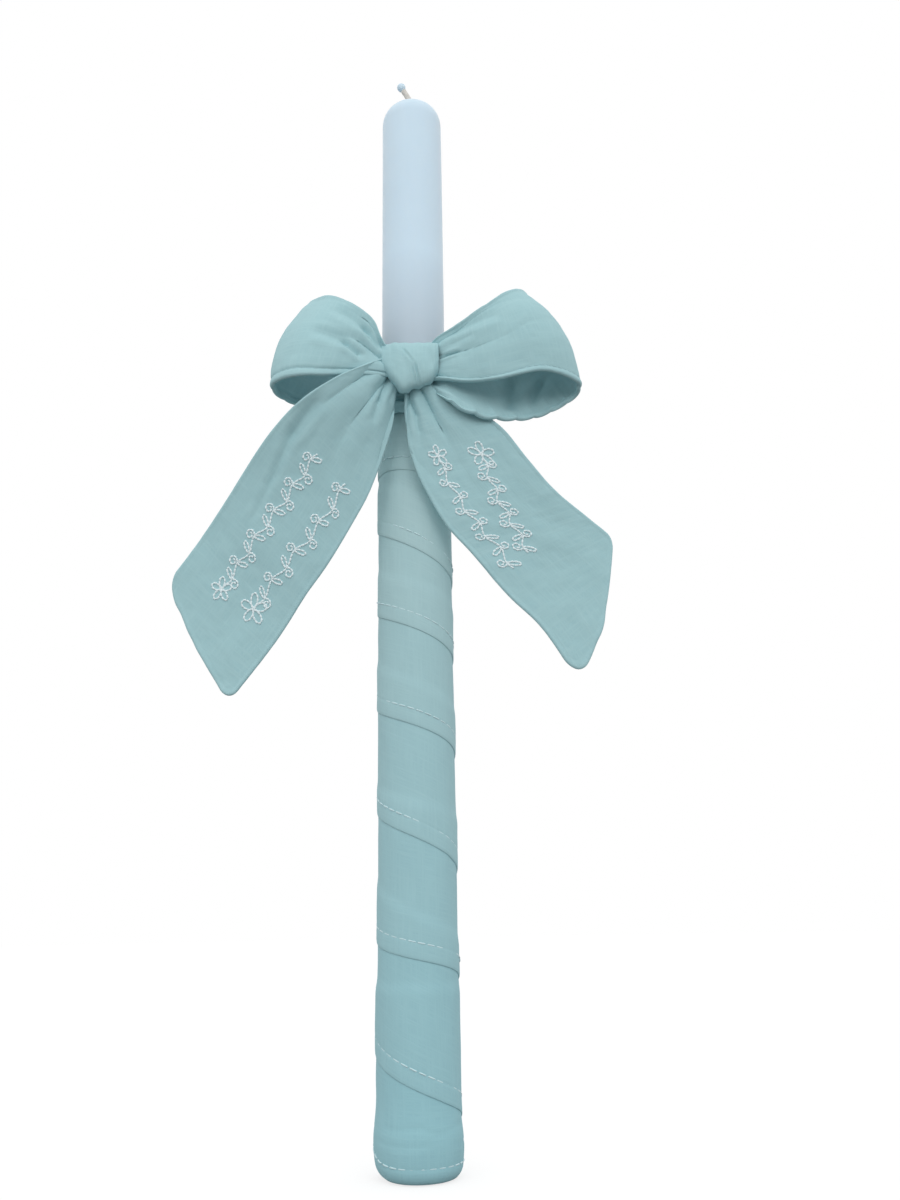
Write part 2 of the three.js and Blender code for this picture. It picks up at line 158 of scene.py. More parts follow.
def surface_normal(place: Callable[[Array, Array], Array], s: Array, w: Array,
                   steps: Pair) -> Array:
    """Gives the way out of a surface.

    Args:
        place: Gives the surface's points for places along and across it.
        s: Places along the surface.
        w: Places across it.
        steps: How far to either side to measure, along and across.

    Returns:
        The way out at each place.
    """
    lengthwise = place(s + steps[0], w) - place(s - steps[0], w)
    crosswise = place(s, w + steps[1]) - place(s, w - steps[1])
    return unit(np.cross(lengthwise, crosswise))


def columns_across(rim: tuple[float, ...], width: float, even: int) -> Array:
    """Spaces the columns of a cloth's mesh: close at both edges and even between them.

    Args:
        rim: The close columns' distances from the edge.
        width: The cloth's width.
        even: How many even columns there are, with the innermost close ones counted.

    Returns:
        Each column's distance from the first edge.
    """
    near = np.array(rim)
    between = np.linspace(near[-1], width - near[-1], even)
    return np.concatenate([near, between[1:-1], width - near[::-1]])


def round_edge(distance: Array, reach: float, least: float = 0.0) -> Array:
    """Gives how full cloth is beside a round edge.

    Args:
        distance: How far each place is from the edge.
        reach: How far in the edge is round.
        least: The square of the share that is left at the very edge.

    Returns:
        The share of the cloth's full thickness at each place.
    """
    return np.sqrt(np.clip(1 - (1 - np.clip(distance / reach, 0, 1)) ** 2, least, 1))


def soft_noise(points: Array, seed: int) -> Array:
    """Gives smooth noise, the same at every run.

    Args:
        points: Places of two or three numbers, in wavelengths.
        seed: Which pattern.

    Returns:
        A value from -1 to 1 at each place.
    """
    points = np.asarray(points, float)
    cell = np.floor(points).astype(np.int64)
    part = points - cell
    part = part ** 3 * (part * (part * 6 - 15) + 10)
    primes = np.array([73856093, 19349663, 83492791])[:points.shape[-1]]
    total = np.zeros(points.shape[:-1])
    for corner in itertools.product((0, 1), repeat=points.shape[-1]):
        key = ((cell + corner) * primes).sum(-1) + seed * 26544357
        key = ((key ^ (key >> 13)) * 1274126177) & 0x7FFFFFFF
        key = ((key ^ (key >> 15)) * 668265263) & 0x7FFFFFFF
        weight = np.prod(np.where(corner, part, 1 - part), axis=-1)
        total += weight * ((key >> 8 & 0xFFFF) / 32767.5 - 1)
    return total


def noise_round(angle: Array, waves: float, up: Array, seed: int) -> Array:
    """Gives smooth noise on something that goes round the candle.

    Args:
        angle: How far round each place is.
        waves: How many wavelengths there are from the middle line to the surface.
        up: How high each place is, in wavelengths.
        seed: Which pattern.

    Returns:
        A value from -1 to 1 at each place.
    """
    angle, up = np.broadcast_arrays(angle, up)
    return soft_noise(np.concatenate([away(angle) * waves, up[..., None]], -1), seed)


def fold_wave(turns: Array) -> Array:
    """Gives gathers in cloth: broad round ridges with narrow valleys between them.

    Args:
        turns: The place across the gathers, one whole number for each ridge.

    Returns:
        The height from -1 in a valley to 1 on a ridge.
    """
    return 2 * np.abs(np.cos(np.pi * turns)) ** 0.6 - 1


def add_node(tree: Tree, kind: str, settings: dict | None = None,
             links: dict | None = None) -> bpy.types.Node:
    """Adds a node to a material's or the world's tree.

    Args:
        tree: The node tree.
        kind: The node's type name.
        settings: Values for its inputs, by name or number, or for its own properties.
        links: The output that feeds each input, by name or number.

    Returns:
        The new node.
    """
    node = tree.nodes.new(kind)
    for key, value in (settings or {}).items():
        if isinstance(key, int) or key in node.inputs:
            node.inputs[key].default_value = value
        else:
            setattr(node, key, value)
    for key, output in (links or {}).items():
        tree.links.new(output, node.inputs[key])
    return node


def new_material(name: str) -> tuple[Material, Tree]:
    """Makes an empty node material.

    Args:
        name: The material's name.

    Returns:
        The material and its node tree.
    """
    material = bpy.data.materials.new(name)
    material.use_nodes = True
    material.node_tree.nodes.clear()
    return material, material.node_tree


def scaled(tree: Tree, source: Socket, scale: Triple) -> Socket:
    """Stretches pattern coordinates.

    Args:
        tree: The node tree.
        source: The coordinates.
        scale: The factor along each axis, in waves for each unit of the source.

    Returns:
        The stretched coordinates.
    """
    return add_node(tree, "ShaderNodeVectorMath", {"operation": "MULTIPLY", 1: scale},
                    {0: source}).outputs["Vector"]


def end_material(tree: Tree, colour: Socket, height: Socket, relief: Pair,
                 surface: dict) -> None:
    """Ends a material with a fine relief, the surface and the output.

    Args:
        tree: The node tree.
        colour: The surface's colour.
        height: The relief's height, from 0 to 1.
        relief: How strong the relief looks, and how deep it is in millimetres.
        surface: The surface's other values, by the name of the input.
    """
    bump = add_node(tree, "ShaderNodeBump",
                    {"Strength": relief[0], "Distance": relief[1] * MM}, {"Height": height})
    shader = add_node(tree, "ShaderNodeBsdfPrincipled", surface,
                      {"Base Color": colour, "Normal": bump.outputs[0]})
    add_node(tree, "ShaderNodeOutputMaterial", links={0: shader.outputs[0]})


def speckled(name: str, speck_mm: float, colours: tuple[str, str],
             relief: Pair, surface: dict) -> Material:
    """Makes a material whose fine specks differ in colour and height.

    Args:
        name: The material's name.
        speck_mm: How wide a speck is.
        colours: The colour of the hollows, darker as painted shade, then that of the raised
            specks.
        relief: How strong the relief looks, and how deep it is in millimetres.
        surface: The surface's other values, by the name of the input.

    Returns:
        The material.
    """
    material, tree = new_material(name)
    place = add_node(tree, "ShaderNodeTexCoord").outputs["Object"]
    specks = add_node(tree, "ShaderNodeTexNoise", {"Scale": 1 / (speck_mm * MM)},
                      {"Vector": place})
    colour = add_node(tree, "ShaderNodeMix", {
        "data_type": "RGBA", 6: linear(colours[0]), 7: linear(colours[1]),
    }, {0: specks.outputs[0]})
    end_material(tree, colour.outputs[2], specks.outputs[0], relief, surface)
    return material


def seen_directly(tree: Tree) -> Socket:
    """Tells what is looked at from what only lights or shades something else.

    Args:
        tree: The node tree.

    Returns:
        1 for a look straight at the place, in a gloss or through something clear, or 0.
    """
    look = add_node(tree, "ShaderNodeLightPath")
    direct = add_node(tree, "ShaderNodeMath", {"operation": "MAXIMUM"}, {
        0: look.outputs["Is Camera Ray"], 1: look.outputs["Is Glossy Ray"]})
    either = add_node(tree, "ShaderNodeMath", {"operation": "MAXIMUM"}, {
        0: direct.outputs[0], 1: look.outputs["Is Transmission Ray"]})
    return either.outputs[0]


@dataclass(frozen=True)
class ParaffinWax:
    """Poured paraffin wax. Light goes a few millimetres into it, so its shadows are soft.

    Just above the bow the wax is painted greyer and darker, as painted shade of the bow.
    That painted shade fades in from its top height down to its end height.
    """

    body: str = "#d1e6f4"
    cloud: str = "#cbe0ee"
    bow_shade: str = "#bbc9d4"
    bow_shade_top_mm: float = 406.0
    bow_shade_end_mm: float = 358.0
    roughness: float = 0.38
    ior: float = 1.44
    depth_mm: float = 3.0
    cloud_mm: float = 28.0
    skin_mm: float = 2.2
    relief: Pair = (0.2, 0.05)

    def material(self) -> Material:
        """Makes the wax's material.

        Returns:
            The material.
        """
        material, tree = new_material("paraffin_wax")
        place = add_node(tree, "ShaderNodeTexCoord").outputs["Object"]
        cloud = add_node(tree, "ShaderNodeTexNoise", {"Scale": 1 / (self.cloud_mm * MM)},
                         {"Vector": place})
        poured = add_node(tree, "ShaderNodeMix", {
            "data_type": "RGBA", 6: linear(self.body), 7: linear(self.cloud),
        }, {0: cloud.outputs[0]})
        # Painted shade: the wax is painted greyer and darker toward the bow, just above it.
        height = add_node(tree, "ShaderNodeSeparateXYZ", links={"Vector": place})
        bow_shade_share = add_node(tree, "ShaderNodeMapRange", {
            1: self.bow_shade_top_mm * MM, 2: self.bow_shade_end_mm * MM,
        }, {0: height.outputs["Z"]})
        colour = add_node(tree, "ShaderNodeMix", {
            "data_type": "RGBA", 7: linear(self.bow_shade),
        }, {0: bow_shade_share.outputs[0], 6: poured.outputs[2]})
        skin = add_node(tree, "ShaderNodeTexNoise", {"Scale": 1 / (self.skin_mm * MM)},
                        {"Vector": place})
        end_material(tree, colour.outputs[2], skin.outputs[0], self.relief, {
            "Roughness": self.roughness, "IOR": self.ior, "Subsurface Weight": 0.45,
            "Subsurface Radius": (1.0, 0.9, 0.85), "Subsurface Scale": self.depth_mm * MM,
            "Specular IOR Level": 0.4})
        return material


@dataclass(frozen=True)
class PlaitedCotton:
    """A plaited cotton wick, dipped once in wax: a matt cord with small slanted strands."""

    strand: str = "#e0ddd7"
    hollow_shade: str = "#c2beb7"
    strand_mm: float = 0.9
    relief: Pair = (0.4, 0.15)

    def material(self) -> Material:
        """Makes the wick's material."""
        # The hollows' darker colour is painted shade in the wick's fine relief.
        return speckled("plaited_cotton", self.strand_mm, (self.hollow_shade, self.strand),
                        self.relief, {"Roughness": 0.8})


@dataclass(frozen=True)
class CrinkledMuslin:
    """Double muslin, woven loosely, washed and dyed: matt, with uneven threads and a crinkle.

    The cloth's own coordinates are in millimetres along and across the ribbon, so the weave
    follows each fold. Its threads are 0.5 mm apart, which is too fine to show, so the weave
    is drawn at 0.9 mm. Its hollows are painted a little darker and its raised slubs a little
    lighter: painted shade and light that go with the relief, over the threads' uneven colour.
    Along a long ribbon the colour is also scaled from one share of red, green and blue at its
    first end to another at its last. On the winding this is painted shade, darker and more cyan
    toward the candle's foot.
    """

    name: str = "crinkled_muslin"
    body: str = "#a3c8cd"
    hollow_shade: str = "#9fc5cb"
    lit_slub: str = "#a7cbd0"
    first_end_shade: Triple = (1.0, 1.0, 1.0)
    last_end_shade: Triple = (1.0, 1.0, 1.0)
    shade_run_mm: float = 760.0
    thread_mm: float = 0.9
    slub_mm: float = 16.0
    crinkle_mm: float = 3.2
    thread_height_mm: float = 0.09
    relief: float = 0.7
    crinkle_share: float = 0.6
    weave_tone_stops: Triple = (0.38, 0.55, 0.74)
    sheen: str = "#d6eaee"

    def threads(self, tree: Tree, place: Socket, along_ribbon: bool) -> Socket:
        """Adds one set of uneven threads.

        Args:
            tree: The node tree.
            place: The cloth's coordinates in millimetres.
            along_ribbon: Whether the threads run along the ribbon, or across it.

        Returns:
            The threads' height, from 0 to 1.
        """
        fine, long = 1 / self.thread_mm, 1 / self.slub_mm
        scale = (long, fine, 0.37) if along_ribbon else (fine, long, 0.61)
        return add_node(tree, "ShaderNodeTexNoise", {"Scale": 1.0, "Detail": 2.0},
                        {"Vector": scaled(tree, place, scale)}).outputs[0]

    def material(self) -> Material:
        """Makes the muslin's material.

        Returns:
            The material.
        """
        material, tree = new_material(self.name)
        place = add_node(tree, "ShaderNodeAttribute", {"attribute_name": CLOTH}).outputs["Vector"]
        warp = self.threads(tree, place, True)
        weft = self.threads(tree, place, False)
        weave = add_node(tree, "ShaderNodeMath", {"operation": "MAXIMUM"}, {0: warp, 1: weft})
        crinkle = add_node(tree, "ShaderNodeTexNoise", {"Scale": 1 / self.crinkle_mm},
                           {"Vector": place})
        height = add_node(tree, "ShaderNodeMath", {"operation": "MULTIPLY_ADD",
                                                  1: self.crinkle_share},
                          {0: crinkle.outputs[0], 2: weave.outputs[0]})
        # Painted shade in the weave's hollows and painted light on its raised slubs, over the
        # threads' own uneven colour.
        ramp = add_node(tree, "ShaderNodeValToRGB", links={0: weave.outputs[0]})
        stops = ramp.color_ramp.elements
        low, between, high = self.weave_tone_stops
        stops[0].position, stops[0].color = low, linear(self.hollow_shade)
        stops[1].position, stops[1].color = high, linear(self.lit_slub)
        stops.new(between).color = linear(self.body)
        # Painted shade along the ribbon: the colour is scaled from the first end's share to the
        # last end's.
        lengthwise = add_node(tree, "ShaderNodeSeparateXYZ", links={0: place}).outputs[0]
        share = add_node(tree, "ShaderNodeMapRange", {"From Max": self.shade_run_mm},
                         {"Value": lengthwise}).outputs[0]
        end_shade = add_node(tree, "ShaderNodeMix", {
            "data_type": "RGBA", 6: (*self.first_end_shade, 1.0), 7: (*self.last_end_shade, 1.0),
        }, {0: share})
        coloured = add_node(tree, "ShaderNodeMix", {"data_type": "RGBA", "blend_type": "MULTIPLY",
                                                0: 1.0},
                        {6: ramp.outputs[0], 7: end_shade.outputs[2]})
        end_material(tree, coloured.outputs[2], height.outputs[0],
                     (self.relief, self.thread_height_mm), {
                         "Roughness": 0.92, "Specular IOR Level": 0.2, "Sheen Weight": 0.15,
                         "Sheen Roughness": 0.6, "Sheen Tint": linear(self.sheen)})
        return material


@dataclass(frozen=True)
class CottonThread:
    """Mercerised cotton thread: pale, with painted shade in the hollows of its fine twist relief.
    """

    name: str = "cotton_thread"
    body: str = "#cfe4e8"
    shade: str = "#b4d2d8"
    twist_mm: float = 0.7
    relief: Pair = (0.3, 0.1)

    def material(self) -> Material:
        """Makes the thread's material."""
        return speckled(self.name, self.twist_mm, (self.shade, self.body), self.relief, {
            "Roughness": 0.55, "Sheen Weight": 0.2, "Sheen Roughness": 0.4})


@dataclass(frozen=True)
class StudioPaper:
    """White background paper: it shows white to the eye, and still takes a soft shadow."""

    sheet: str = "#909090"
    fleck: str = "#8d8d8d"
    flecks_across: float = 400.0
    glow: float = 0.75

    def material(self) -> Material:
        """Makes the paper's material.

        Returns:
            The material.
        """
        material, tree = new_material("studio_paper")
        grain = add_node(tree, "ShaderNodeTexNoise", {"Scale": self.flecks_across})
        colour = add_node(tree, "ShaderNodeMix", {
            "data_type": "RGBA", 6: linear(self.sheet), 7: linear(self.fleck),
        }, {0: grain.outputs[0]})
        paper = add_node(tree, "ShaderNodeBsdfDiffuse", links={0: colour.outputs[2]})
        strength = add_node(tree, "ShaderNodeMath", {"operation": "MULTIPLY", 1: self.glow},
                            {0: seen_directly(tree)})
        glow = add_node(tree, "ShaderNodeEmission", links={"Strength": strength.outputs[0]})
        both = add_node(tree, "ShaderNodeAddShader",
                        links={0: paper.outputs[0], 1: glow.outputs[0]})
        add_node(tree, "ShaderNodeOutputMaterial", links={0: both.outputs[0]})
        return material


@dataclass(frozen=True)
class Finishes:
    """The materials that the pieces share, each made once."""

    wax: Material
    cotton: Material
    muslin: Material
    wound_muslin: Material
    seam_thread: Material
    hem_thread: Material
    pale_thread: Material


def make_finishes() -> Finishes:
    """Makes each of the shared materials once.

    Returns:
        The materials.
    """
    # The winding's muslin is painted darker and more cyan toward its first end, at the candle's
    # foot: painted shade.
    wound = CrinkledMuslin("wound_muslin", first_end_shade=(0.75, 0.94, 1.0),
                           last_end_shade=(1.0, 0.98, 0.97), body="#abcbcf", hollow_shade="#a8c8cd",
                           lit_slub="#aecdd1")
    return Finishes(
        wax=ParaffinWax().material(),
        cotton=PlaitedCotton().material(),
        muslin=CrinkledMuslin().material(),
        wound_muslin=wound.material(),
        seam_thread=CottonThread("seam_thread", "#a2c5cb", "#98bcc3").material(),
        hem_thread=CottonThread("hem_thread", "#d2e8ec", "#b4d2d8").material(),
        pale_thread=CottonThread("embroidery_thread", "#eaf5f8", "#d6e9ed").material())


def make_piece(name: str, points: Array, faces: Array | list, material: Material,
               cloth: Array | None = None) -> Piece:
    """Makes a smooth mesh object that rides with the candle.

    Args:
        name: The piece's name.
        points: The corners, in millimetres.
        faces: The corner numbers of each face.
        material: Its material.
        cloth: For cloth, each corner's place on the flat ribbon, in millimetres.

    Returns:
        The new object.
    """
    mesh = bpy.data.meshes.new(name)
    mesh.from_pydata((np.asarray(points, float) * MM).tolist(), [],
                     faces if isinstance(faces, list) else faces.tolist())
    mesh.shade_smooth()
    mesh.materials.append(material)
    if cloth is not None:
        attribute = mesh.attributes.new(CLOTH, "FLOAT_VECTOR", "POINT")
        attribute.data.foreach_set("vector", np.asarray(cloth, np.float32).ravel())
    piece = bpy.data.objects.new(name, mesh)
    bpy.context.scene.collection.objects.link(piece)
    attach(piece, BODY)
    return piece


def quads(rows: int, columns: int, closed: bool) -> Array:
    """Numbers the faces of a grid of corners.

    Args:
        rows: How many rows of corners.
        columns: How many corners in each row.
        closed: Whether the last row joins the first.

    Returns:
        Four corner numbers for each face.
    """
    i, j = np.meshgrid(np.arange(rows if closed else rows - 1), np.arange(columns - 1),
                       indexing="ij")
    after = (i + 1) % rows
    return np.stack([i * columns + j, after * columns + j, after * columns + j + 1,
                     i * columns + j + 1], axis=-1).reshape(-1, 4)


def shell(front: Array, back: Array, closed: bool) -> Array:
    """Numbers the faces of cloth with a front, a back and its edges between them.

    Args:
        front: The front's grid of points.
        back: The back's grid of points, behind the front's.
        closed: Whether the cloth's last row joins its first.

    Returns:
        Four corner numbers for each face, for the front's points followed by the back's.
    """
    rows, columns = front.shape[:2]
    count = rows * columns
    face = quads(rows, columns, closed)
    at = np.arange(count).reshape(rows, columns)
    rims = [(np.roll(at[:, 0], -1), at[:, 0]), (at[:, -1], np.roll(at[:, -1], -1))]
    if not closed:
        rims = [(one[:-1], other[:-1]) for one, other in rims]
        rims += [(at[0, :-1], at[0, 1:]), (at[-1, 1:], at[-1, :-1])]
    edges = [np.stack([one, other, other + count, one + count], -1) for one, other in rims]
    faces = np.concatenate([face, face[:, ::-1] + count, *edges])
    a, b, c = (front.reshape(-1, 3)[face[:, k]] for k in (0, 1, 2))
    outward = (front - back).reshape(-1, 3)[face[:, 0]]
    return faces if (np.cross(b - a, c - a) * outward).sum() > 0 else faces[:, ::-1]


def tube_faces(rows: int, sides: int) -> list[list[int]]:
    """Numbers the faces of a tube with both of its ends closed.

    Args:
        rows: How many rings of corners it has.
        sides: How many corners each ring has.

    Returns:
        The corner numbers of each face.
    """
    i, j = np.meshgrid(np.arange(rows - 1), np.arange(sides), indexing="ij")
    k = (j + 1) % sides
    around = np.stack([i * sides + j, i * sides + k, (i + 1) * sides + k,
                       (i + 1) * sides + j], -1).reshape(-1, 4).tolist()
    first, last = list(range(sides)), [(rows - 1) * sides + m for m in range(sides)]
    return around + [first[::-1], last]


def turned(radius: Array, height: Array, sides: int) -> Array:
    """Turns a profile round the candle's middle line.

    Args:
        radius: The radius of each point of the profile, or a row of them for each side.
        height: The height of each point of the profile.
        sides: How many times the profile stands round the circle.

    Returns:
        The points, with a row for each side.
    """
    angle = ring(sides)[:, None]
    radius = np.broadcast_to(radius, (sides, len(height)))
    return np.stack([radius * np.cos(angle), radius * np.sin(angle),
                     np.broadcast_to(height, radius.shape)], -1)


def cloth_piece(name: str, node: str, sides: tuple[Array, Array], closed: bool,
                flat: tuple[Array, Array], patch: float, material: Material) -> Piece:
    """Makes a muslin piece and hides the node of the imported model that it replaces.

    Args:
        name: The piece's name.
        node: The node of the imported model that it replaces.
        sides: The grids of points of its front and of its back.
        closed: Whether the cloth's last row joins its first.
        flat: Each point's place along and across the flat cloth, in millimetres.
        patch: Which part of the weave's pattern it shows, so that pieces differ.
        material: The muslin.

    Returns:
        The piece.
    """
    points = np.concatenate([side.reshape(-1, 3) for side in sides])
    cloth = np.stack([*flat, np.full(flat[0].shape, patch)], -1).reshape(-1, 3)
    piece = make_piece(name, points, shell(*sides, closed), material,
                       np.concatenate([cloth, cloth + [0, 0, BACK_PATCH]]))
    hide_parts(node)
    return piece


@dataclass(frozen=True)
class SewnEdge:
    """A double cloth's turned edge: a soft roll, then the seam that is sewn beside it."""

    roll: float = 1.05
    body: float = 0.6
    seam: float = 3.1
    sink: float = 0.16
    seam_width: float = 0.6
    blunt: float = 0.06

    def half_thickness(self, distance: Array, pulled: Array) -> Array:
        """Gives half the cloth's thickness.

        Args:
            distance: How far each place is from the cloth's edge, in millimetres.
            pulled: How tight the seam is there, from 0 to 1.

        Returns:
            Half the thickness there.
        """
        into = np.clip(self.roll - distance, 0, None)
        rolled = np.sqrt(np.maximum(self.roll ** 2 - into ** 2, self.blunt))
        inside = mix(rolled, self.body, ease((distance - self.roll) / (self.seam - self.roll)))
        dip = np.exp(-((distance - self.seam) / self.seam_width) ** 2)
        return inside - pulled * self.sink * dip


@dataclass(frozen=True)
class Crease:
    """A valley pressed in cloth, between two places seen from the front, x and height.

    It runs on past both places by a share of its length, `overrun`, and fades out over
    another, `fade`. Beside it, at `ridge_at` widths from its bottom, the cloth stands up.
    """

    start: Pair
    end: Pair
    depth: float
    width: float
    ridge: float = 0.4
    ridge_at: float = 2.1
    overrun: float = 0.25
    fade: float = 0.4

    def press(self, points: Array) -> Array:
        """Gives how far the crease moves the cloth outward, which is below 0 in its valley.

        Args:
            points: Places on the cloth.

        Returns:
            The move at each place, in millimetres.
        """
        start, way = np.array(self.start), np.subtract(self.end, self.start)
        seen = points[..., [0, 2]] - start
        t = (seen @ way) / (way @ way)
        off = np.abs(seen[..., 0] * way[1] - seen[..., 1] * way[0]) / np.linalg.norm(way)
        ends = (ease((t + self.overrun) / self.fade)
                * ease((1 + self.overrun - t) / self.fade))
        valley = np.exp(-(off / self.width) ** 2)
        ridge = np.exp(-((off - self.ridge_at * self.width) / self.width) ** 2)
        return self.depth * ends * (self.ridge * ridge - valley)


@dataclass(frozen=True)
class Bow:
    """The sizes that the bow's pieces share."""

    height: float = 332.0
    ribbon: float = 55.0
    behind: float = 17.55
    collar_outer: float = 21.15


@dataclass
class Strip:
    """A run of the bow's ribbon between its two long edges.

    Each edge is a row of places in millimetres: to the side, forward of the winding, and up
    from the bow's middle. The front is the side that is seen first from before the candle.
    A slanted end reaches `cut` further at the inner edge than at the outer one. It bows out
    by `cut_bow`, swings by `cut_wave`, and is round at its sharp corner by `corner` and at
    its blunt one by `blunt_corner`. The creases are pressed in as far as the share
    `creased_to` of the ribbon. A loop's back layer starts half way along: it has the inside
    creases, and small gathers, `tucks` deep, in its inner edge.
    """

    name: str
    replaces: str
    inner: list[Triple]
    outer: list[Triple]
    bulge: list[float]
    held: str
    gathers: float = 2.5
    gather_depth: float = 3.2
    gather_start: float = 0.3
    gather_wander: float = 0.12
    wander_mm: float = 30.0
    crinkle: float = 0.34
    waver: float = 0.5
    waver_mm: float = 26.0
    seed: int = 1
    cut: float = 0.0
    cut_bow: float = 0.0
    cut_wave: float = 0.0
    cut_uneven: float = 0.6
    cut_uneven_mm: float = 8.0
    corner: float = 7.0
    blunt_corner: float = 3.5
    creases: list[Crease] = field(default_factory=list)
    creased_to: float = 1.0
    inside_creases: list[Crease] = field(default_factory=list)
    inside_from: float = 0.55
    tucks: float = 0.0
    tucks_between: Pair = (0.5, 0.95)
    tuck_spacing: float = 8.5
    tuck_reach: float = 8.0
    fade: float = 0.08
    crease_fade: float = 0.05
    off_collar: float = 1.6
    bow: Bow = Bow()
    edge: SewnEdge = SewnEdge()
    spacing: float = 0.85

    def __post_init__(self) -> None:
        """Measures the middle line, so that places on the cloth are real lengths."""
        sign, origin = np.array([1, -1, 1]), np.array([0, -self.bow.behind, self.bow.height])
        self.rails = [np.array(edge) * sign + origin for edge in (self.inner, self.outer)]
        self.line = (self.rails[0] + self.rails[1]) / 2
        self.steps = np.linspace(0, 1, 600)
        self.lengths = walked(along(self.line, self.steps))
        self.length = float(self.lengths[-1])
        self.slant = math.hypot(1, self.cut / self.bow.ribbon)
        self.facing = 1.0
        self.facing = -float(np.sign(self.plain(np.array([0.3]), np.array([0.5]))[1][0, 1]))

    def cut_line(self, w: Array) -> Array:
        """Gives the slanted end before its corners are rounded.

        Args:
            w: Places across the ribbon.

        Returns:
            Where the end lies along the ribbon, at each of them.
        """
        v = w / self.bow.ribbon
        uneven = self.cut_uneven * soft_noise((w / self.cut_uneven_mm)[..., None], self.seed + 5)
        return (self.length - self.cut * v + self.cut_bow * 4 * v * (1 - v)
                - self.cut_wave * np.sin(2 * np.pi * v) + uneven)

    def end_at(self, w: Array) -> Array:
        """Gives the ribbon's end with its round corners.

        Args:
            w: Places across the ribbon.

        Returns:
            Where the end lies along the ribbon, at each of them.
        """
        if not self.cut:
            return np.full(np.shape(w), self.length)
        side = np.minimum(w, self.bow.ribbon - w)
        corner = self.corner_at(w)
        into = np.clip(corner - side, 0, None) / corner
        rounded = corner * (1 - np.sqrt(1 - np.minimum(into, 1) ** 2)) * self.slant
        return self.cut_line(w) - rounded

    def corner_at(self, w: Array) -> Array:
        """Gives the radius of the slanted end's nearer corner, less at the blunt one."""
        return np.where(w > self.bow.ribbon / 2, self.blunt_corner, self.corner)

    def from_edge(self, s: Array, w: Array) -> Array:
        """Gives how far places on the flat cloth are from its nearest sewn edge.

        Args:
            s: Places along the ribbon.
            w: Places across it.

        Returns:
            The distance at each place, in millimetres.
        """
        side = np.minimum(w, self.bow.ribbon - w)
        if not self.cut:
            return side
        end = (self.cut_line(w) - s) / self.slant
        corner = self.corner_at(w)
        in_corner = (side < corner) & (end < corner)
        round_corner = corner - np.hypot(corner - side, corner - end)
        return np.where(in_corner, round_corner, np.minimum(side, end))

    def plain(self, t: Array, v: Array) -> tuple[Array, Array, Array]:
        """Gives the ribbon before its folds.

        Args:
            t: Places along the edges, from 0 to 1.
            v: Places across, from 0 at the inner edge to 1.

        Returns:
            The points, the way out of the front, and the ribbon's width there.
        """
        first, second = along(self.rails[0], t), along(self.rails[1], t)
        across = second - first
        step = 0.004
        tangent = unit(along(self.line, t + step) - along(self.line, t - step))
        normal = unit(np.cross(tangent, unit(across))) * self.facing
        width = np.linalg.norm(across, axis=-1)
        return mix(first, second, v[..., None]), normal, width

    def middle(self, s: Array, w: Array) -> Array:
        """Gives the middle of the cloth's thickness.

        Args:
            s: Places along the ribbon, in millimetres of flat cloth.
            w: Places across it.

        Returns:
            The points in space, in millimetres.
        """
        t = np.interp(s, self.lengths, self.steps)
        v = w / self.bow.ribbon
        point, normal, width = self.plain(t, v)
        gathered = np.clip(1 - width / self.bow.ribbon, 0, 1) ** 1.5
        wander = self.gather_wander * soft_noise(
            np.stack([s / self.wander_mm, v * 2], -1), self.seed)
        gather = self.gathers * (v + wander) + self.gather_start
        lift = gathered * self.gather_depth * fold_wave(gather)
        lift += along(self.bulge, t) * (1 - (2 * v - 1) ** 2)
        for n, (share, long, wide) in enumerate(CRINKLES, 1):
            crinkled = soft_noise(np.stack([s / long, w / wide], -1), self.seed + n)
            lift += self.crinkle * share * crinkled
        for crease in self.creases:
            lift += crease.press(point) * ease((self.creased_to - t) / self.crease_fade)
        for crease in self.inside_creases:
            lift -= crease.press(point) * ease((t - self.inside_from) / self.fade)
        begin, end = self.tucks_between
        tucked = ease((t - begin) / self.fade) * ease((end - t) / self.fade)
        lift += (self.tucks * tucked * np.exp(-w / self.tuck_reach)
                 * fold_wave(s / self.tuck_spacing))
        waver = self.waver * soft_noise(
            np.stack([s / self.waver_mm, 3 * v], -1), self.seed + 4)
        sideways = unit(self.rails[1][-1] - self.rails[0][-1])
        point = point + normal * lift[..., None] + sideways * waver[..., None]
        return pushed_out(point, self.bow.collar_outer + self.off_collar)

    def normal(self, s: Array, w: Array) -> Array:
        """Gives the way out of the cloth's front at places on the flat cloth."""
        return surface_normal(self.middle, s, w, (0.25, 0.25)) * self.facing

    def face(self, s: Array, w: Array, side: int, proud: float = 0) -> Array:
        """Gives points on one face of the cloth.

        Args:
            s: Places along the ribbon.
            w: Places across it.
            side: 1 for the front, or -1 for the back.
            proud: How far the points stand out from the cloth.

        Returns:
            The points in space, in millimetres.
        """
        pulled = 1 - ease((w - self.bow.ribbon / 2) / 5)
        half = self.edge.half_thickness(self.from_edge(s, w), pulled) + proud
        return self.middle(s, w) + self.normal(s, w) * (side * half)[..., None]

    def grid(self) -> tuple[Array, Array]:
        """Spaces the rows and columns of the mesh, which are close together at the edges.

        Returns:
            Each corner's place along the flat cloth, and its place across.
        """
        rim = STRIP_RIM[-1]
        w = columns_across(STRIP_RIM, self.bow.ribbon,
                           round((self.bow.ribbon - 2 * rim) / self.spacing) + 1)
        shares = np.linspace(0, 1, round(self.length / self.spacing) + 1)
        if not self.cut:
            return np.meshgrid(shares * self.length, w, indexing="ij")
        end = self.end_at(w)[None]
        body = shares[:, None] * (end - rim * self.slant)
        tip = end - np.array(STRIP_RIM)[::-1][1:, None] * self.slant
        s = np.concatenate([body, tip])
        return s, np.broadcast_to(w, s.shape)

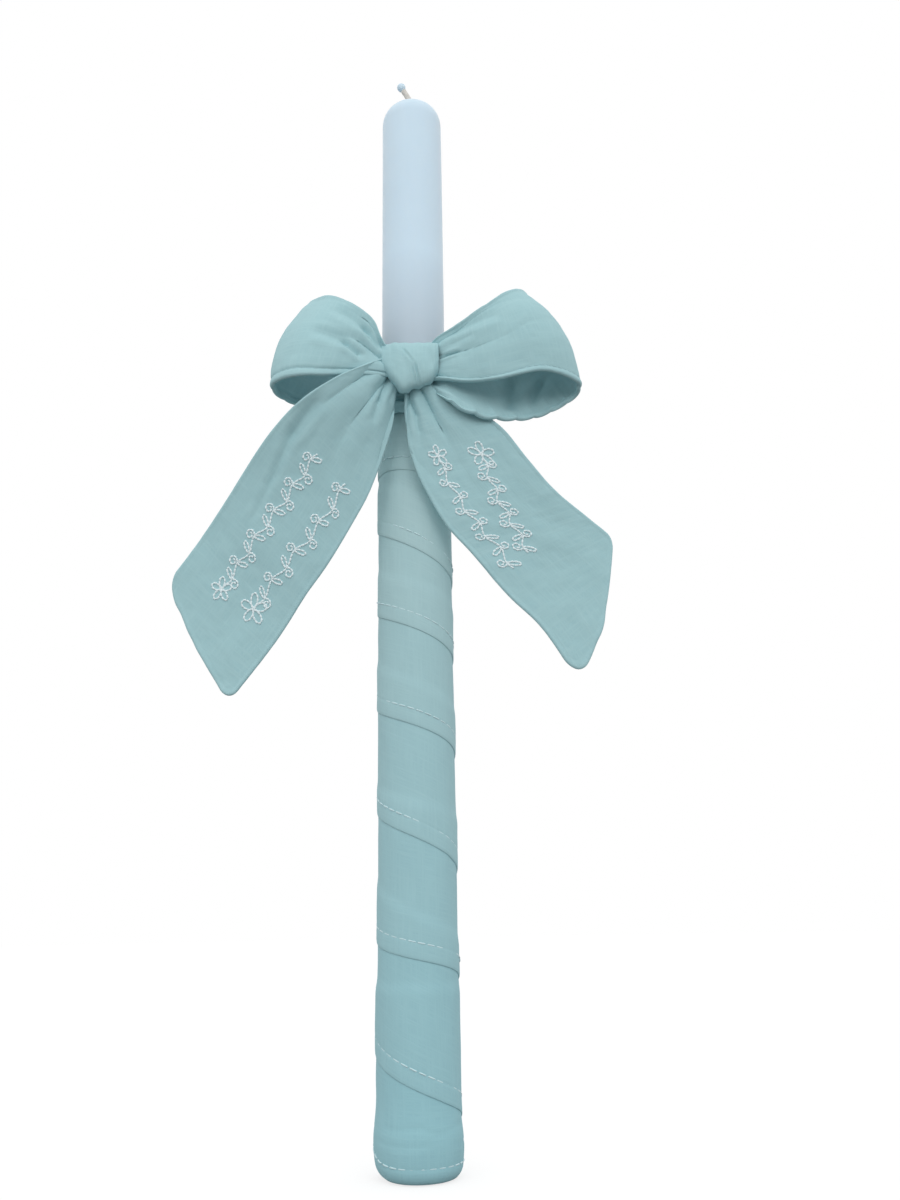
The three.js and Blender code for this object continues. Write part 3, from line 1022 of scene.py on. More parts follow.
    def build(self, finishes: Finishes) -> Piece:
        """Builds the ribbon's cloth.

        Args:
            finishes: The shared materials.

        Returns:
            The ribbon.
        """
        s, w = self.grid()
        sides = self.face(s, w, 1), self.face(s, w, -1)
        return cloth_piece(self.name, self.replaces, sides, False, (s, w), 40.0 * self.seed,
                           finishes.muslin)

    def seam(self, finishes: Finishes) -> Piece:
        """Sews the seam beside the inner edge.

        Args:
            finishes: The shared materials.

        Returns:
            The row of stitches.
        """
        s = np.arange(6, self.length - 8, 0.5)
        w = np.full(s.shape, self.edge.seam)
        return stitched(f"{self.name}_seam", self.face(s, w, 1, -0.02), self.normal(s, w),
                        SEAM_STITCH, finishes.seam_thread)


@dataclass(frozen=True)
class Stitch:
    """How a kind of stitch shows: its length, the cloth between two, and the thread's radius."""

    length: float
    gap: float
    radius: float


SEAM_STITCH = Stitch(2.2, 0.9, 0.2)
HEM_STITCH = Stitch(3.1, 0.8, 0.33)
VINE_STITCH = Stitch(1.7, 0.05, 0.47)


def stitched(name: str, line: Array, out: Array, stitch: Stitch, material: Material) -> Piece:
    """Lays a row of stitches along a line on cloth.

    Args:
        name: The piece's name.
        line: Close points on the cloth, in millimetres. A row of nan breaks the line.
        out: The way out of the cloth at each point.
        stitch: The kind of stitch.
        material: The thread's material.

    Returns:
        The row of stitches as one piece.
    """
    sides = 6
    steps, fullness = np.array([0.0, 0.12, 0.5, 0.88, 1.0]), (0.55, 0.9, 1.0, 0.9, 0.55)
    angle = ring(sides)[:, None]
    capsule = tube_faces(len(steps), sides)
    points, faces = [], []
    breaks = np.isnan(line[:, 0])
    for run in np.split(np.arange(len(line)), np.flatnonzero(breaks)):
        run = run[~breaks[run]]
        if len(run) < 2:
            continue
        path, way_out = line[run], out[run]
        far = walked(path)
        for start in np.arange(0, far[-1] - stitch.length * 0.5, stitch.length + stitch.gap):
            places = start + stitch.length * steps
            middle = np.stack([np.interp(places, far, path[:, k]) for k in range(3)], -1)
            up = unit(np.stack([np.interp(places, far, way_out[:, k]) for k in range(3)], -1))
            forward = unit(np.broadcast_to(middle[-1] - middle[0], middle.shape))
            beside = unit(np.cross(forward, up))
            base = len(points) * sides
            for k, full in enumerate(fullness):
                points.append(middle[k] + stitch.radius * full * (
                    np.cos(angle) * beside[k] + np.sin(angle) * up[k]))
            faces += [[base + corner for corner in face] for face in capsule]
    return make_piece(name, np.concatenate(points), faces, material)


@dataclass
class Winding:
    """The muslin ribbon wound up the candle, each turn's lower edge over the turn below.

    A turn's whole number is at the front, and the ribbon climbs from the front to the left.
    A hand winding isn't even: `uneven` says how much higher its lower edge lies, every half
    turn from the first left side on. `shares` says how far it has climbed after each turn.
    The first of a ripple's two waves is how many wavelengths a radius holds, and the second
    is how high a wavelength is, in millimetres.
    """

    candle_radius: float = 15.0
    bottom: float = 1.5
    top: float = 344.7
    ribbon: float = 55.0
    cloth: float = 0.45
    slack: float = 0.9
    layer_rise: float = 0.5
    first: float = -17 / 24
    turns: int = 7
    past: float = 13 / 24
    level_hold: float = 0.22
    level_bend: float = 0.25
    shares: tuple[float, ...] = (0, 0.144, 0.294, 0.452, 0.611, 0.747, 0.869, 1)
    uneven_from: float = 0.25
    uneven: tuple[float, ...] = (0, -2.6, -1.5, 4.3, -3.8, 0, 0, 0, -2.9, -1.8, 0, -3.4, 2.6, 0)
    hem: float = 6.3
    hem_rise: float = 0.04
    hem_roll: float = 0.5
    hem_sink: float = 0.05
    pucker: float = 0.06
    pucker_spacing: float = 3.4
    seam_width: float = 0.6
    lap_settle: float = 6.0
    lap_gap: float = 0.5
    lap_begins: float = 0.12
    first_edge_up: float = 9.0
    foot: float = 0.3
    foot_climb: float = 4.0
    foot_rounded: Pair = (20.0, 30.0)
    curl: float = 5.0
    tucked: float = 0.6
    droop: float = 0.14
    droop_over: float = 1.4
    swell: float = 1.1
    swell_height: float = 12.5
    swell_over: float = 9.0
    tuck_heights: tuple[float, ...] = (18.5, 13.5)
    tuck_depth: float = 0.3
    tuck_stray: float = 1.2
    tuck_width: float = 0.6
    broad_ripple: float = 0.22
    broad_waves: Pair = (2.2, 26.0)
    fine_ripple: float = 0.1
    fine_waves: Pair = (6.0, 9.0)
    stitch_sink: float = 0.06
    stitch_stray: float = 0.42
    rows_per_turn: int = 96

    @property
    def radius(self) -> float:
        """The middle of the innermost layer."""
        return self.candle_radius + self.slack + self.cloth / 2

    def lower_edge(self, turn: Array) -> Array:
        """Gives the height of the ribbon's lower edge.

        Args:
            turn: How many turns round each place is.

        Returns:
            The edge's height at each of them.
        """
        climb = self.top - self.ribbon - self.bottom
        climbing = self.turns - self.level_hold
        bend = self.level_bend

        def eased(x: Array) -> Array:
            """Softens the corner where the level turn begins to climb."""
            curved = (x + bend) ** 2 / (4 * bend)
            return np.where(x <= -bend, 0, np.where(x >= bend, x, curved))

        climbed = climbing - eased(climbing - eased(turn - self.level_hold))
        half_turns = (turn - self.uneven_from) * 2 / (len(self.uneven) - 1)
        return (self.bottom + climb * along(self.shares, climbed / climbing)
                + along(self.uneven, half_turns))

    def upper_edge(self, turn: Array) -> Array:
        """Gives the height of its upper edge, which is further up where the ribbon slants."""
        rise = (self.lower_edge(turn + 0.25) - self.lower_edge(turn - 0.25)) * 2
        return self.lower_edge(turn) + self.ribbon * np.hypot(
            1, rise / (2 * np.pi * self.radius))

    def layers_under(self, turn: Array, height: Array) -> Array:
        """Counts the layers of ribbon below a place, with a soft step at each edge.

        Args:
            turn: How many turns round each place is.
            height: How high it is.

        Returns:
            The number of layers at each place.
        """
        layers = np.zeros(np.broadcast(turn, height).shape)
        for below in (turn - 1, turn - 2):
            begun = np.clip((below - self.first) / self.lap_begins + 1, 0, 1)
            edge = self.upper_edge(below) + self.first_edge_up * np.clip(1 - below, 0, 1)
            over = edge + self.lap_gap + self.lap_settle - height
            layers += begun * ease(over / self.lap_settle)
        return layers

    def point(self, turn: Array, w: Array, lift: Array | float) -> Array:
        """Gives a place on the wound ribbon.

        Args:
            turn: How many turns round it is.
            w: How far up the ribbon's width, in millimetres of flat cloth.
            lift: How far out from the cloth's middle.

        Returns:
            The points, in millimetres.
        """
        low, high = self.lower_edge(turn), self.upper_edge(turn)
        height = low + (high - low) * w / self.ribbon
        level = ease(1 - (low - self.bottom) / self.foot_climb)
        arc = self.curl * (np.pi / 2 - self.tucked)
        bend = np.minimum(self.tucked + w / self.curl, np.pi / 2)
        rounded = (self.foot + self.curl * (np.cos(self.tucked) - np.cos(bend))
                   + np.clip(w - arc, 0, None))
        begin, over = self.foot_rounded
        height = mix(height, mix(rounded, height, ease((w - begin) / over)), level)
        angle = -np.pi / 2 - turn * 2 * np.pi

        def broad(seed: int) -> Array:
            """Gives one of the broad noises on the winding."""
            return noise_round(angle, self.broad_waves[0], height / self.broad_waves[1], seed)

        layers = self.layers_under(turn, height)
        droop = np.clip(layers, 0, 1) * self.droop * (1 - ease(w / self.droop_over))
        curl = level * self.curl * (1 - np.sin(bend))
        radius = self.radius + self.layer_rise * layers - curl - droop
        radius += self.swell * np.exp(-((height - self.swell_height) / self.swell_over) ** 2)
        for n, tuck in enumerate(self.tuck_heights):
            off = (height - tuck - self.tuck_stray * broad(21 + n)) / self.tuck_width
            radius -= self.tuck_depth * np.clip(0.5 + broad(31 + n), 0, 1) * np.exp(-off ** 2)
        ripple = self.broad_ripple * broad(5) + self.fine_ripple * noise_round(
            angle, self.fine_waves[0], height / self.fine_waves[1], 6)
        radius += ripple * ease(w / 8 + 1 - level) + lift
        return np.concatenate([away(angle) * radius[..., None], height[..., None]], -1)

    def lift(self, s: Array, w: Array, side: int) -> Array:
        """Gives how far a face of the cloth is from its middle, with the hem and its puckers.

        Args:
            s: Places along the ribbon.
            w: Places across it.
            side: 1 for the front, or -1 for the back.

        Returns:
            The distance outward at each place.
        """
        edge = np.minimum(w, self.ribbon - w)
        hemmed = self.cloth / 2 + self.hem_rise * ease((self.hem + 0.5 - edge) / 1.0)
        pucker = 0.5 + 0.5 * np.cos(2 * np.pi * s / self.pucker_spacing)
        sunk = self.hem_sink + self.pucker * pucker
        seam = sunk * np.exp(-((edge - self.hem) / self.seam_width) ** 2)
        return side * (hemmed * round_edge(edge, self.hem_roll, 0.08) - seam)

    def walk(self, turn: Array) -> Array:
        """Gives how far along the flat ribbon each place is, from its first end."""
        return (turn - self.first) * 2 * np.pi * (self.radius + 0.8)

    def stitches(self, finishes: Finishes) -> Piece:
        """Sews the hem of the winding's lower edge.

        Args:
            finishes: The shared materials.

        Returns:
            The row of stitches.
        """
        turn = np.arange(self.first + 0.02, self.turns + self.past, 0.005)
        s, w = self.walk(turn), np.full(turn.shape, self.hem)
        sunk = self.stitch_stray * soft_noise(np.stack([s / 13, w], -1), 9) - self.stitch_sink
        line = self.point(turn, w, self.lift(s, w, 1) + sunk)
        return stitched("wrap_stitches", line, unit(line * np.array([1, 1, 0])), HEM_STITCH,
                        finishes.hem_thread)

    def build(self, finishes: Finishes) -> Piece:
        """Builds the winding and the stitches of its hem.

        Args:
            finishes: The shared materials.

        Returns:
            The winding.
        """
        rows = round((self.turns + self.past - self.first) * self.rows_per_turn) + 1
        turn, w = np.meshgrid(np.linspace(self.first, self.turns + self.past, rows),
                              columns_across(WINDING_RIM, self.ribbon, 36), indexing="ij")
        s = self.walk(turn)
        sides = (self.point(turn, w, self.lift(s, w, 1)),
                 self.point(turn, w, self.lift(s, w, -1)))
        piece = cloth_piece("wrap_cloth", "wrap_ribbon", sides, False, (s, w), 0.0,
                            finishes.wound_muslin)
        self.stitches(finishes)
        return piece


@dataclass
class BaseCover:
    """The muslin disc under the candle's foot, inside the winding's tucked lower edge."""

    radius: float = 13.3
    thickness: float = 1.2
    edge: float = 0.7
    rings: tuple[float, ...] = (0.05, 4, 8, 11)
    crinkle: float = 0.12
    sides: int = 96

    def build(self, finishes: Finishes) -> Piece:
        """Builds the disc, with a round lower edge that meets the winding's.

        Args:
            finishes: The shared materials.

        Returns:
            The disc.
        """
        turn = np.linspace(0, np.pi / 2, 6)
        rim = np.stack([self.radius - self.edge * (1 - np.sin(turn)),
                        self.edge * (1 - np.cos(turn))], -1)
        profile = np.concatenate([
            [[r, 0] for r in self.rings], rim, [[self.radius - 0.1, self.thickness - 0.1]],
            [[r, self.thickness] for r in reversed(self.rings)]])
        points = turned(profile[:, 0], profile[:, 1], self.sides)
        points[..., 2] += (self.crinkle * soft_noise(points[..., :2] / 5, 8)
                           * (points[..., 2] > self.thickness / 2))
        count = len(profile)
        first = np.arange(self.sides) * count
        faces = quads(self.sides, count, True).tolist()
        faces += [first.tolist(), (first + count - 1)[::-1].tolist()]
        flat = points.reshape(-1, 3) * [1, 1, 0] + [0, 0, 77]
        piece = make_piece("base_disc", points.reshape(-1, 3), faces, finishes.muslin, flat)
        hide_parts("base_cover")
        return piece


@dataclass
class Collar:
    """The ribbon's gathered way round the candle, behind the knot.

    Of a pair of waves, the first is how many wavelengths of the noise a radius holds, and the
    second how many the ribbon's width holds.
    """

    bow: Bow = Bow()
    inner: float = 17.8
    band: float = 30.0
    drop: float = 1.5
    cloth: float = 0.9
    fold_depth: float = 3.5
    gathers: float = 4.5
    gather_drift: float = 0.7
    gather_lean: float = 0.9
    drift_waves: Pair = (1.6, 2.0)
    depth_waves: Pair = (2.08, 2.6)
    columns: int = 150
    sides: int = 240

    def build(self, finishes: Finishes) -> Piece:
        """Builds the collar as one closed band with its gathers.

        Args:
            finishes: The shared materials.

        Returns:
            The collar.
        """
        angle, w = np.meshgrid(ring(self.sides), np.linspace(0, self.bow.ribbon, self.columns),
                               indexing="ij")
        middle = self.middle(angle, w)
        out = surface_normal(self.middle, angle, w, (0.01, 0.2)) * self.cloth / 2
        piece = cloth_piece("bow_collar_band", "bow_collar", (middle + out, middle - out), True,
                            (angle * (self.inner + 2), w), 210.0, finishes.muslin)
        return piece

    def middle(self, angle: Array, w: Array) -> Array:
        """Gives the middle of the cloth.

        Args:
            angle: How far round the candle each place is.
            w: How far across the ribbon it is.

        Returns:
            The points, in millimetres.
        """
        share = w / self.bow.ribbon
        round_it, up = self.drift_waves
        drift = self.gather_drift * noise_round(angle, round_it, share * up, 31)
        gather = self.gathers * share + drift
        round_it, up = self.depth_waves
        fullness = 0.75 + 0.5 * noise_round(angle, round_it, share * up, 32)
        depth = self.fold_depth * np.clip(fullness, 0.3, 1)
        ends = np.sqrt(np.clip(np.sin(np.pi * np.clip(share, 0.02, 0.98)) * 3, 0, 1))
        fold = depth * (0.5 + 0.5 * np.sin(2 * np.pi * gather)) * ends
        radius = self.inner + self.cloth / 2 + fold
        height = (self.bow.height - self.drop + self.band * (share - 0.5)
                  + self.gather_lean * np.sin(4 * np.pi * gather))
        return np.concatenate([away(angle) * radius[..., None], height[..., None]], -1)


@dataclass
class Knot:
    """The knot: the ribbon gathered into a folded band, over the front of the collar."""

    bow: Bow = Bow()
    width: float = 25.5
    leftward: float = 0.56
    depth: float = 19.0
    slope: float = 0.6
    squareness: float = 0.8
    cloth: float = 1.0
    cloth_run: float = 54.0
    gathers: float = 5.0
    gather_depth: float = 1.9
    gather_front: float = 0.12
    gather_drift: float = 0.35
    pinch_left: Pair = (0.3, 0.35)
    pinch_right: Pair = (0.12, 0.12)
    roll: float = 0.3
    crinkles: Pair = (0.22, 0.1)
    collar_gap: float = 0.8
    sides: int = 180
    upper: tuple[float, ...] = (10.0, 11.0, 11.0, 11.0, 10.6)
    lower: tuple[float, ...] = (4.4, 10.8, 15.2, 18.8, 16.9, 15.9, 15.0, 13.0, 8.0)
    creases: tuple[Crease, ...] = (
        Crease((-4.6, 336.6), (-0.6, 330.4), 0.45, 0.5),
        Crease((-0.4, 327.0), (1.2, 320.0), 0.55, 0.4),
        Crease((0.9, 327.6), (3.2, 317.4), 0.9, 0.45),
        Crease((-9.5, 331.0), (-5.5, 321.0), 0.3, 1.4),
        Crease((6.6, 341.0), (7.6, 328.0), 0.25, 1.2),
    )

    def outer(self, share: Array, angle: Array, inward: float = 0) -> Array:
        """Gives a place on the band.

        Args:
            share: How far across the knot, from 0 at its left to 1.
            angle: How far round the band, 0 at the front and a quarter turn at the top.
            inward: How far inside the band's outer face.

        Returns:
            The points, in millimetres.
        """
        ahead, above = np.cos(angle), np.sin(angle)
        x = mix(-self.leftward, 1 - self.leftward, share) * self.width
        top = self.bow.height + along(self.upper, share)
        bottom = self.bow.height - along(self.lower, share)
        pinch = 1
        for (tight, over), edge in ((self.pinch_left, share), (self.pinch_right, 1 - share)):
            pinch = pinch - tight * (1 - ease(edge / over)) ** 2
        hidden = ease((0.45 - ahead) / 1.0)
        drift = self.gather_drift * soft_noise(np.stack([share * 3, ahead, above], -1), 43)
        inward = inward - mix(self.gather_front, self.gather_depth, hidden) * np.sin(
            2 * np.pi * (self.gathers * share + drift))
        forward = np.sign(ahead) * np.abs(ahead) ** self.squareness
        up = np.sign(above) * np.abs(above) ** self.squareness
        under = self.slope * self.depth / 2 * (1 - forward) * (1 - up) / 2
        height = mix(bottom + inward, top - inward, (up + 1) / 2) + under
        middle = -(self.bow.collar_outer - 2) - self.depth / 2
        y = middle - forward * (self.depth / 2 * pinch - inward)
        point = np.stack([x, y, height], -1)
        lift = self.roll * np.cos((0.8 * x + 0.6 * (height - self.bow.height)) * 0.5)
        for crease in self.creases:
            lift += crease.press(point)
        for depth, size, seed in zip(self.crinkles, (5, 2), (41, 42)):
            lift += depth * soft_noise(point / size, seed)
        point[..., 1] -= lift * np.clip(ahead, 0, 1)
        return pushed_out(point, self.bow.collar_outer + self.collar_gap + self.cloth - inward)

    def build(self, finishes: Finishes) -> Piece:
        """Builds the knot's band.

        Args:
            finishes: The shared materials.

        Returns:
            The knot.
        """
        angle, share = np.meshgrid(ring(self.sides), columns_across(KNOT_RIM, 1.0, 60),
                                   indexing="ij")
        front, back = self.outer(share, angle), self.outer(share, angle, self.cloth)
        middle = (front + back) / 2
        turned_in = 1 - round_edge(np.minimum(share, 1 - share), KNOT_RIM[3])
        half = (front - back) / 2 * (1 - 0.8 * turned_in[..., None])
        piece = cloth_piece("bow_knot_band", "bow_knot", (middle + half, middle - half), True,
                            (angle * 14, share * self.bow.ribbon * 0.7), 320.0, finishes.muslin)
        return piece


@dataclass
class Candle:
    """The wax candle with its wick and the drop of wax on the wick's tip."""

    radius: float = 15.0
    bottom: float = 1.5
    length: float = 498.5
    dome: float = 13.0
    dome_fullness: float = 2.3
    foot: float = 6.5
    meniscus: float = 0.9
    meniscus_radius: float = 4.0
    wave: float = 0.09
    bore: float = 1.7
    wick_radius: float = 1.4
    wick_rise: float = 11.5
    wick_lean: float = 4.2
    strands: int = 3
    plait_mm: float = 5.5
    plait_depth: float = 0.1
    bead: float = 4.4
    bead_stretch: float = 0.12
    sides: int = 128

    @property
    def top(self) -> float:
        """The height of the dome."""
        return self.bottom + self.length

    def profile(self) -> Array:
        """Gives the wax's outline from its foot to the dome, in at the wick and down the bore.

        Returns:
            Rows of a radius and a height.
        """
        angle = np.linspace(0, np.pi / 2, 10)
        foot = np.stack([self.radius - self.foot * (1 - np.sin(angle)),
                         self.bottom + self.foot * (1 - np.cos(angle))], -1)
        side = np.stack([np.full(140, self.radius), np.linspace(
            self.bottom + self.foot, self.top - self.dome, 142)[1:-1]], -1)
        rise, power = np.linspace(0, np.pi / 2, 40)[:-1], 2 / self.dome_fullness
        dome = np.stack([self.radius * np.cos(rise) ** power,
                         self.top - self.dome + self.dome * np.sin(rise) ** power], -1)
        dome = dome[dome[:, 0] > self.meniscus_radius]
        pool = np.linspace(0, 1, 8)[1:]
        climb = np.stack([mix(self.meniscus_radius, self.bore, pool),
                          self.top - 0.05 + self.meniscus * pool ** 2], -1)
        bore = [[self.bore, self.top - 1.5], [self.bore, self.bottom]]
        return np.concatenate([foot, side, dome, climb, bore])

    def body(self, finishes: Finishes) -> Piece:
        """Builds the wax body: a turned profile, with the faint waves of a poured candle.

        Args:
            finishes: The shared materials.

        Returns:
            The wax.
        """
        radius, height = self.profile().T
        waves = self.wave * noise_round(ring(self.sides)[:, None], 1.3, height / 35, 51)
        points = turned(radius + waves * (radius > self.meniscus_radius), height, self.sides)
        columns = len(height)
        first = np.arange(self.sides) * columns
        last, after = first + columns - 1, np.roll(np.arange(self.sides), -1)
        closing = np.stack([last, last[after], first[after], first], -1)
        faces = np.concatenate([quads(self.sides, columns, True), closing])
        piece = make_piece("candle_wax", points.reshape(-1, 3), faces, finishes.wax)
        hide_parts("candle_body")
        return piece

    def wick_line(self) -> Array:
        """Gives the wick's middle line, straight through the candle and then leaning.

        Returns:
            Close points along it.
        """
        straight = np.stack([np.zeros(30), np.zeros(30),
                             np.linspace(self.bottom, self.top - 2, 30)], -1)
        bends = [[0, 0, self.top - 2], [0, 0, self.top + self.meniscus],
                 [-0.3 * self.wick_lean, 0, self.top + 0.5 * self.wick_rise],
                 [-self.wick_lean, 0, self.top + self.wick_rise]]
        return np.concatenate([straight[:-1], along(bends, np.linspace(0, 1, 60))])

    def wick(self, finishes: Finishes) -> Piece:
        """Builds the wick as a plaited cord: strands cross in two slanted sets.

        Args:
            finishes: The shared materials.

        Returns:
            The wick.
        """
        line = self.wick_line()
        way = unit(np.gradient(line, axis=0))
        across = unit(np.cross(way, np.array([0, 1.0, 0])))
        other = np.cross(way, across)
        angle = ring(36)
        turn = walked(line)[:, None] / self.plait_mm * 2 * np.pi
        plait = np.maximum(np.cos(self.strands * angle + turn),
                           np.cos(self.strands * angle - turn))
        radius = self.wick_radius * (1 - self.plait_depth + self.plait_depth * plait)
        points = line[:, None] + radius[..., None] * (
            np.cos(angle)[None, :, None] * across[:, None]
            + np.sin(angle)[None, :, None] * other[:, None])
        piece = make_piece("wick_cord", points.reshape(-1, 3), tube_faces(*points.shape[:2]),
                           finishes.cotton)
        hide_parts("wick")
        return piece

    def tip(self, finishes: Finishes) -> Piece:
        """Builds the drop of wax on the wick's tip, a little longer below than above.

        Args:
            finishes: The shared materials.

        Returns:
            The drop.
        """
        before, end = self.wick_line()[-2:]
        way = unit(end - before)
        centre = end + way * (self.bead / 2 + 0.3)
        across = unit(np.cross(way, np.array([0, 1.0, 0])))
        other = np.cross(way, across)
        rise = np.linspace(0, np.pi, 22)[1:-1, None, None]
        turn = ring(32)[None, :, None]
        height = -np.cos(rise) * (1 + self.bead_stretch * np.clip(np.cos(rise), 0, None))
        points = centre + self.bead / 2 * (
            np.sin(rise) * (np.cos(turn) * across + np.sin(turn) * other) + height * way)
        piece = make_piece("wick_wax_drop", points.reshape(-1, 3), tube_faces(*points.shape[:2]),
                           finishes.wax)
        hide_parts("wick_wax_tip")
        return piece


@dataclass
class Sprig:
    """A plain embroidered vine: a flower, then a waving stem with leaves and curled tendrils."""

    start: Pair
    end: Pair
    wave: float = 1.2
    waves: float = 4.0
    leaf: float = 5.4
    leaf_fullness: float = 0.2
    curl: float = 2.2
    curl_end: float = 0.35
    curl_turns: float = 1.3
    petal: float = 5.0
    petal_fullness: float = 0.3
    petals: int = 5
    leaf_angle: float = 1.1
    tendril_angle: float = 0.5
    stem_gap: float = 0.6
    flower_reach: float = 2.0

    def petal_line(self, root: Array, way: float, reach: float, fullness: float) -> Array:
        """Gives a closed pointed loop, for a leaf or a petal.

        Args:
            root: Where it grows from, on the flat cloth.
            way: The angle it grows at.
            reach: How long it is.
            fullness: Its half width as a share of its length.

        Returns:
            Close places round the loop.
        """
        turn = np.linspace(0, 2 * np.pi, 28)
        out = reach * (1 - np.cos(turn)) / 2
        side = reach * fullness * np.sin(turn) * (0.4 + 0.6 * np.sin(turn / 2))
        grow, across = (math.cos(way), math.sin(way)), (-math.sin(way), math.cos(way))
        return root + out[:, None] * np.array(grow) + side[:, None] * np.array(across)

    def tendril(self, root: Array, way: float, hand: int) -> Array:
        """Gives a curl that leaves the stem and winds inward.

        Args:
            root: Where it leaves the stem.
            way: The angle it sets out at.
            hand: 1 if it winds to the left, or -1.

        Returns:
            Close places along the curl.
        """
        wound = np.linspace(0, 2 * np.pi * self.curl_turns, 44)
        radius = mix(self.curl, self.curl_end * self.curl, wound / wound[-1])
        steps = radius * (wound[1] - wound[0])
        moves = away(way + hand * wound) * steps[:, None]
        return root + np.cumsum(moves, axis=0)

    def lines(self) -> list[Array]:
        """Gives the vine's lines.

        Returns:
            Close places on the flat cloth for each line.
        """
        start, way = np.array(self.start), np.subtract(self.end, self.start)
        length = float(np.linalg.norm(way))
        ahead = way / length
        beside = np.array([-ahead[1], ahead[0]])
        heading = math.atan2(ahead[1], ahead[0])
        t = np.linspace(0, 1, round(length * 3))
        swing = self.wave * np.sin(2 * np.pi * self.waves * t)
        lines = [start + t[:, None] * way + swing[:, None] * beside]
        flower = start - ahead * (self.stem_gap + self.flower_reach)
        for n in range(self.petals):
            turn = heading + 2 * math.pi * (n + 0.5) / self.petals
            lines.append(self.petal_line(flower, turn, self.petal, self.petal_fullness))
        for n in range(int(2 * self.waves)):
            at = (n + 0.5) / (2 * self.waves)
            side = 1 if n % 2 == 0 else -1
            root = start + at * way + side * self.wave * beside
            lines.append(self.tendril(root, heading + side * self.tendril_angle, side))
            lines.append(self.petal_line(root, heading - side * self.leaf_angle, self.leaf,
                                         self.leaf_fullness))
        return lines

    def build(self, name: str, strip: Strip, material: Material) -> Piece:
        """Sews the vine on a ribbon's front.

        Args:
            name: The piece's name.
            strip: The ribbon.
            material: The thread's material.

        Returns:
            The embroidery.
        """
        places = []
        for line in self.lines():
            places += [line, np.full((1, 2), np.nan)]
        flat = np.concatenate(places)
        gone = np.isnan(flat[:, 0])
        s, w = np.nan_to_num(flat[:, 0]), np.nan_to_num(flat[:, 1])
        points = strip.face(s, w, 1, 0.1)
        out = strip.normal(s, w)
        points[gone] = np.nan
        return stitched(name, points, out, VINE_STITCH, material)


class Side(enum.Enum):
    """A side of the bow, as the viewer sees it."""

    LEFT = "left"
    RIGHT = "right"


def loop(side: Side) -> Strip:
    """Gives one loop of the bow: out along the front, round its end and back behind.

    Args:
        side: Which loop.

    Returns:
        The loop's ribbon.
    """
    if side is Side.RIGHT:
        return Strip(
            "loop_right", "bow_loop_right",
            [(6.0, 9.9, -6.8), (11.7, 15.9, -8.8), (23.9, 19.9, -11.6), (37.7, 23.8, -12.2),
             (55.8, 22.3, -8.2), (67.6, 16.4, -7.2), (75.0, 7.4, -7.6), (70.3, 0.5, -12.1),
             (51.6, 4.0, -21.8), (30.7, 15.0, -25.5), (16.0, 17.0, -19.0), (6.0, 9.0, -8.6)],
            [(6.2, 9.9, 9.6), (12.0, 15.9, 13.5), (21.4, 19.9, 18.4), (32.2, 23.8, 24.6),
             (41.8, 22.1, 31.9), (48.6, 15.4, 36.9), (51.8, 6.4, 37.6), (46.3, 0.5, 33.7),
             (31.7, 0.5, 21.6), (20.1, 4.5, 10.7), (12.2, 7.5, 7.4), (6.2, 6.4, 9.9)],
            [0, 0, 1, 2, 4, 6, 6.4, 5, 3, 1, 0, 0], "folded", seed=2, gather_depth=1.7,
            creased_to=0.42, tucks=0.9, edge=SewnEdge(sink=0.08),
            creases=[Crease((11.8, 333.6), (19.8, 334.8), 1.4, 0.7),
                     Crease((17.2, 344.4), (35.2, 349.6), 0.8, 2.2),
                     Crease((14.0, 338.2), (27.4, 341.8), 0.5, 1.5)],
            inside_creases=[Crease((47.6, 332.6), (43.6, 315.7), 2.6, 3.0, 0.2),
                            Crease((60.9, 333.2), (54.2, 320.9), 1.4, 2.0, 0.3)])
    return Strip(
        "loop_left", "bow_loop_left",
        [(-6.6, 9.9, -4.3), (-12.3, 14.9, -5.9), (-24.4, 20.1, -8.4), (-38.3, 26.1, -12.0),
         (-50.2, 27.4, -13.2), (-58.6, 21.6, -12.4), (-62.4, 13.9, -11.6), (-59.0, 3.9, -11.8),
         (-48.9, -2.7, -12.1), (-31.1, -2.6, -10.2), (-15.3, 2.4, -7.3), (-6.6, 5.4, -4.9)],
        [(-6.5, 9.9, 8.9), (-13.6, 14.9, 9.5), (-18.5, 17.9, 19.9), (-27.3, 19.6, 27.2),
         (-36.2, 15.4, 33.8), (-42.4, 8.4, 37.3), (-46.8, -0.6, 39.9), (-41.0, -8.1, 38.2),
         (-31.6, -10.6, 26.0), (-22.2, -5.4, 15.9), (-13.6, 2.4, 9.6), (-6.6, 5.4, 10.5)],
        [0, 0, 1, 2, 4, 5, 6, 4, 2, 0, 0, 0], "folded", seed=3, gather_depth=2.6,
        creased_to=0.42, tucks=0.5, edge=SewnEdge(seam=4.0, sink=0.5),
        creases=[Crease((-33.6, 353.7), (-20.2, 344.7), 1.2, 2.4),
                 Crease((-22.5, 346.6), (-15.8, 338.9), 1.7, 1.6),
                 Crease((-41.8, 340.1), (-30.0, 336.6), 1.0, 2.4),
                 Crease((-31.0, 336.8), (-24.4, 332.0), 1.7, 1.5)])


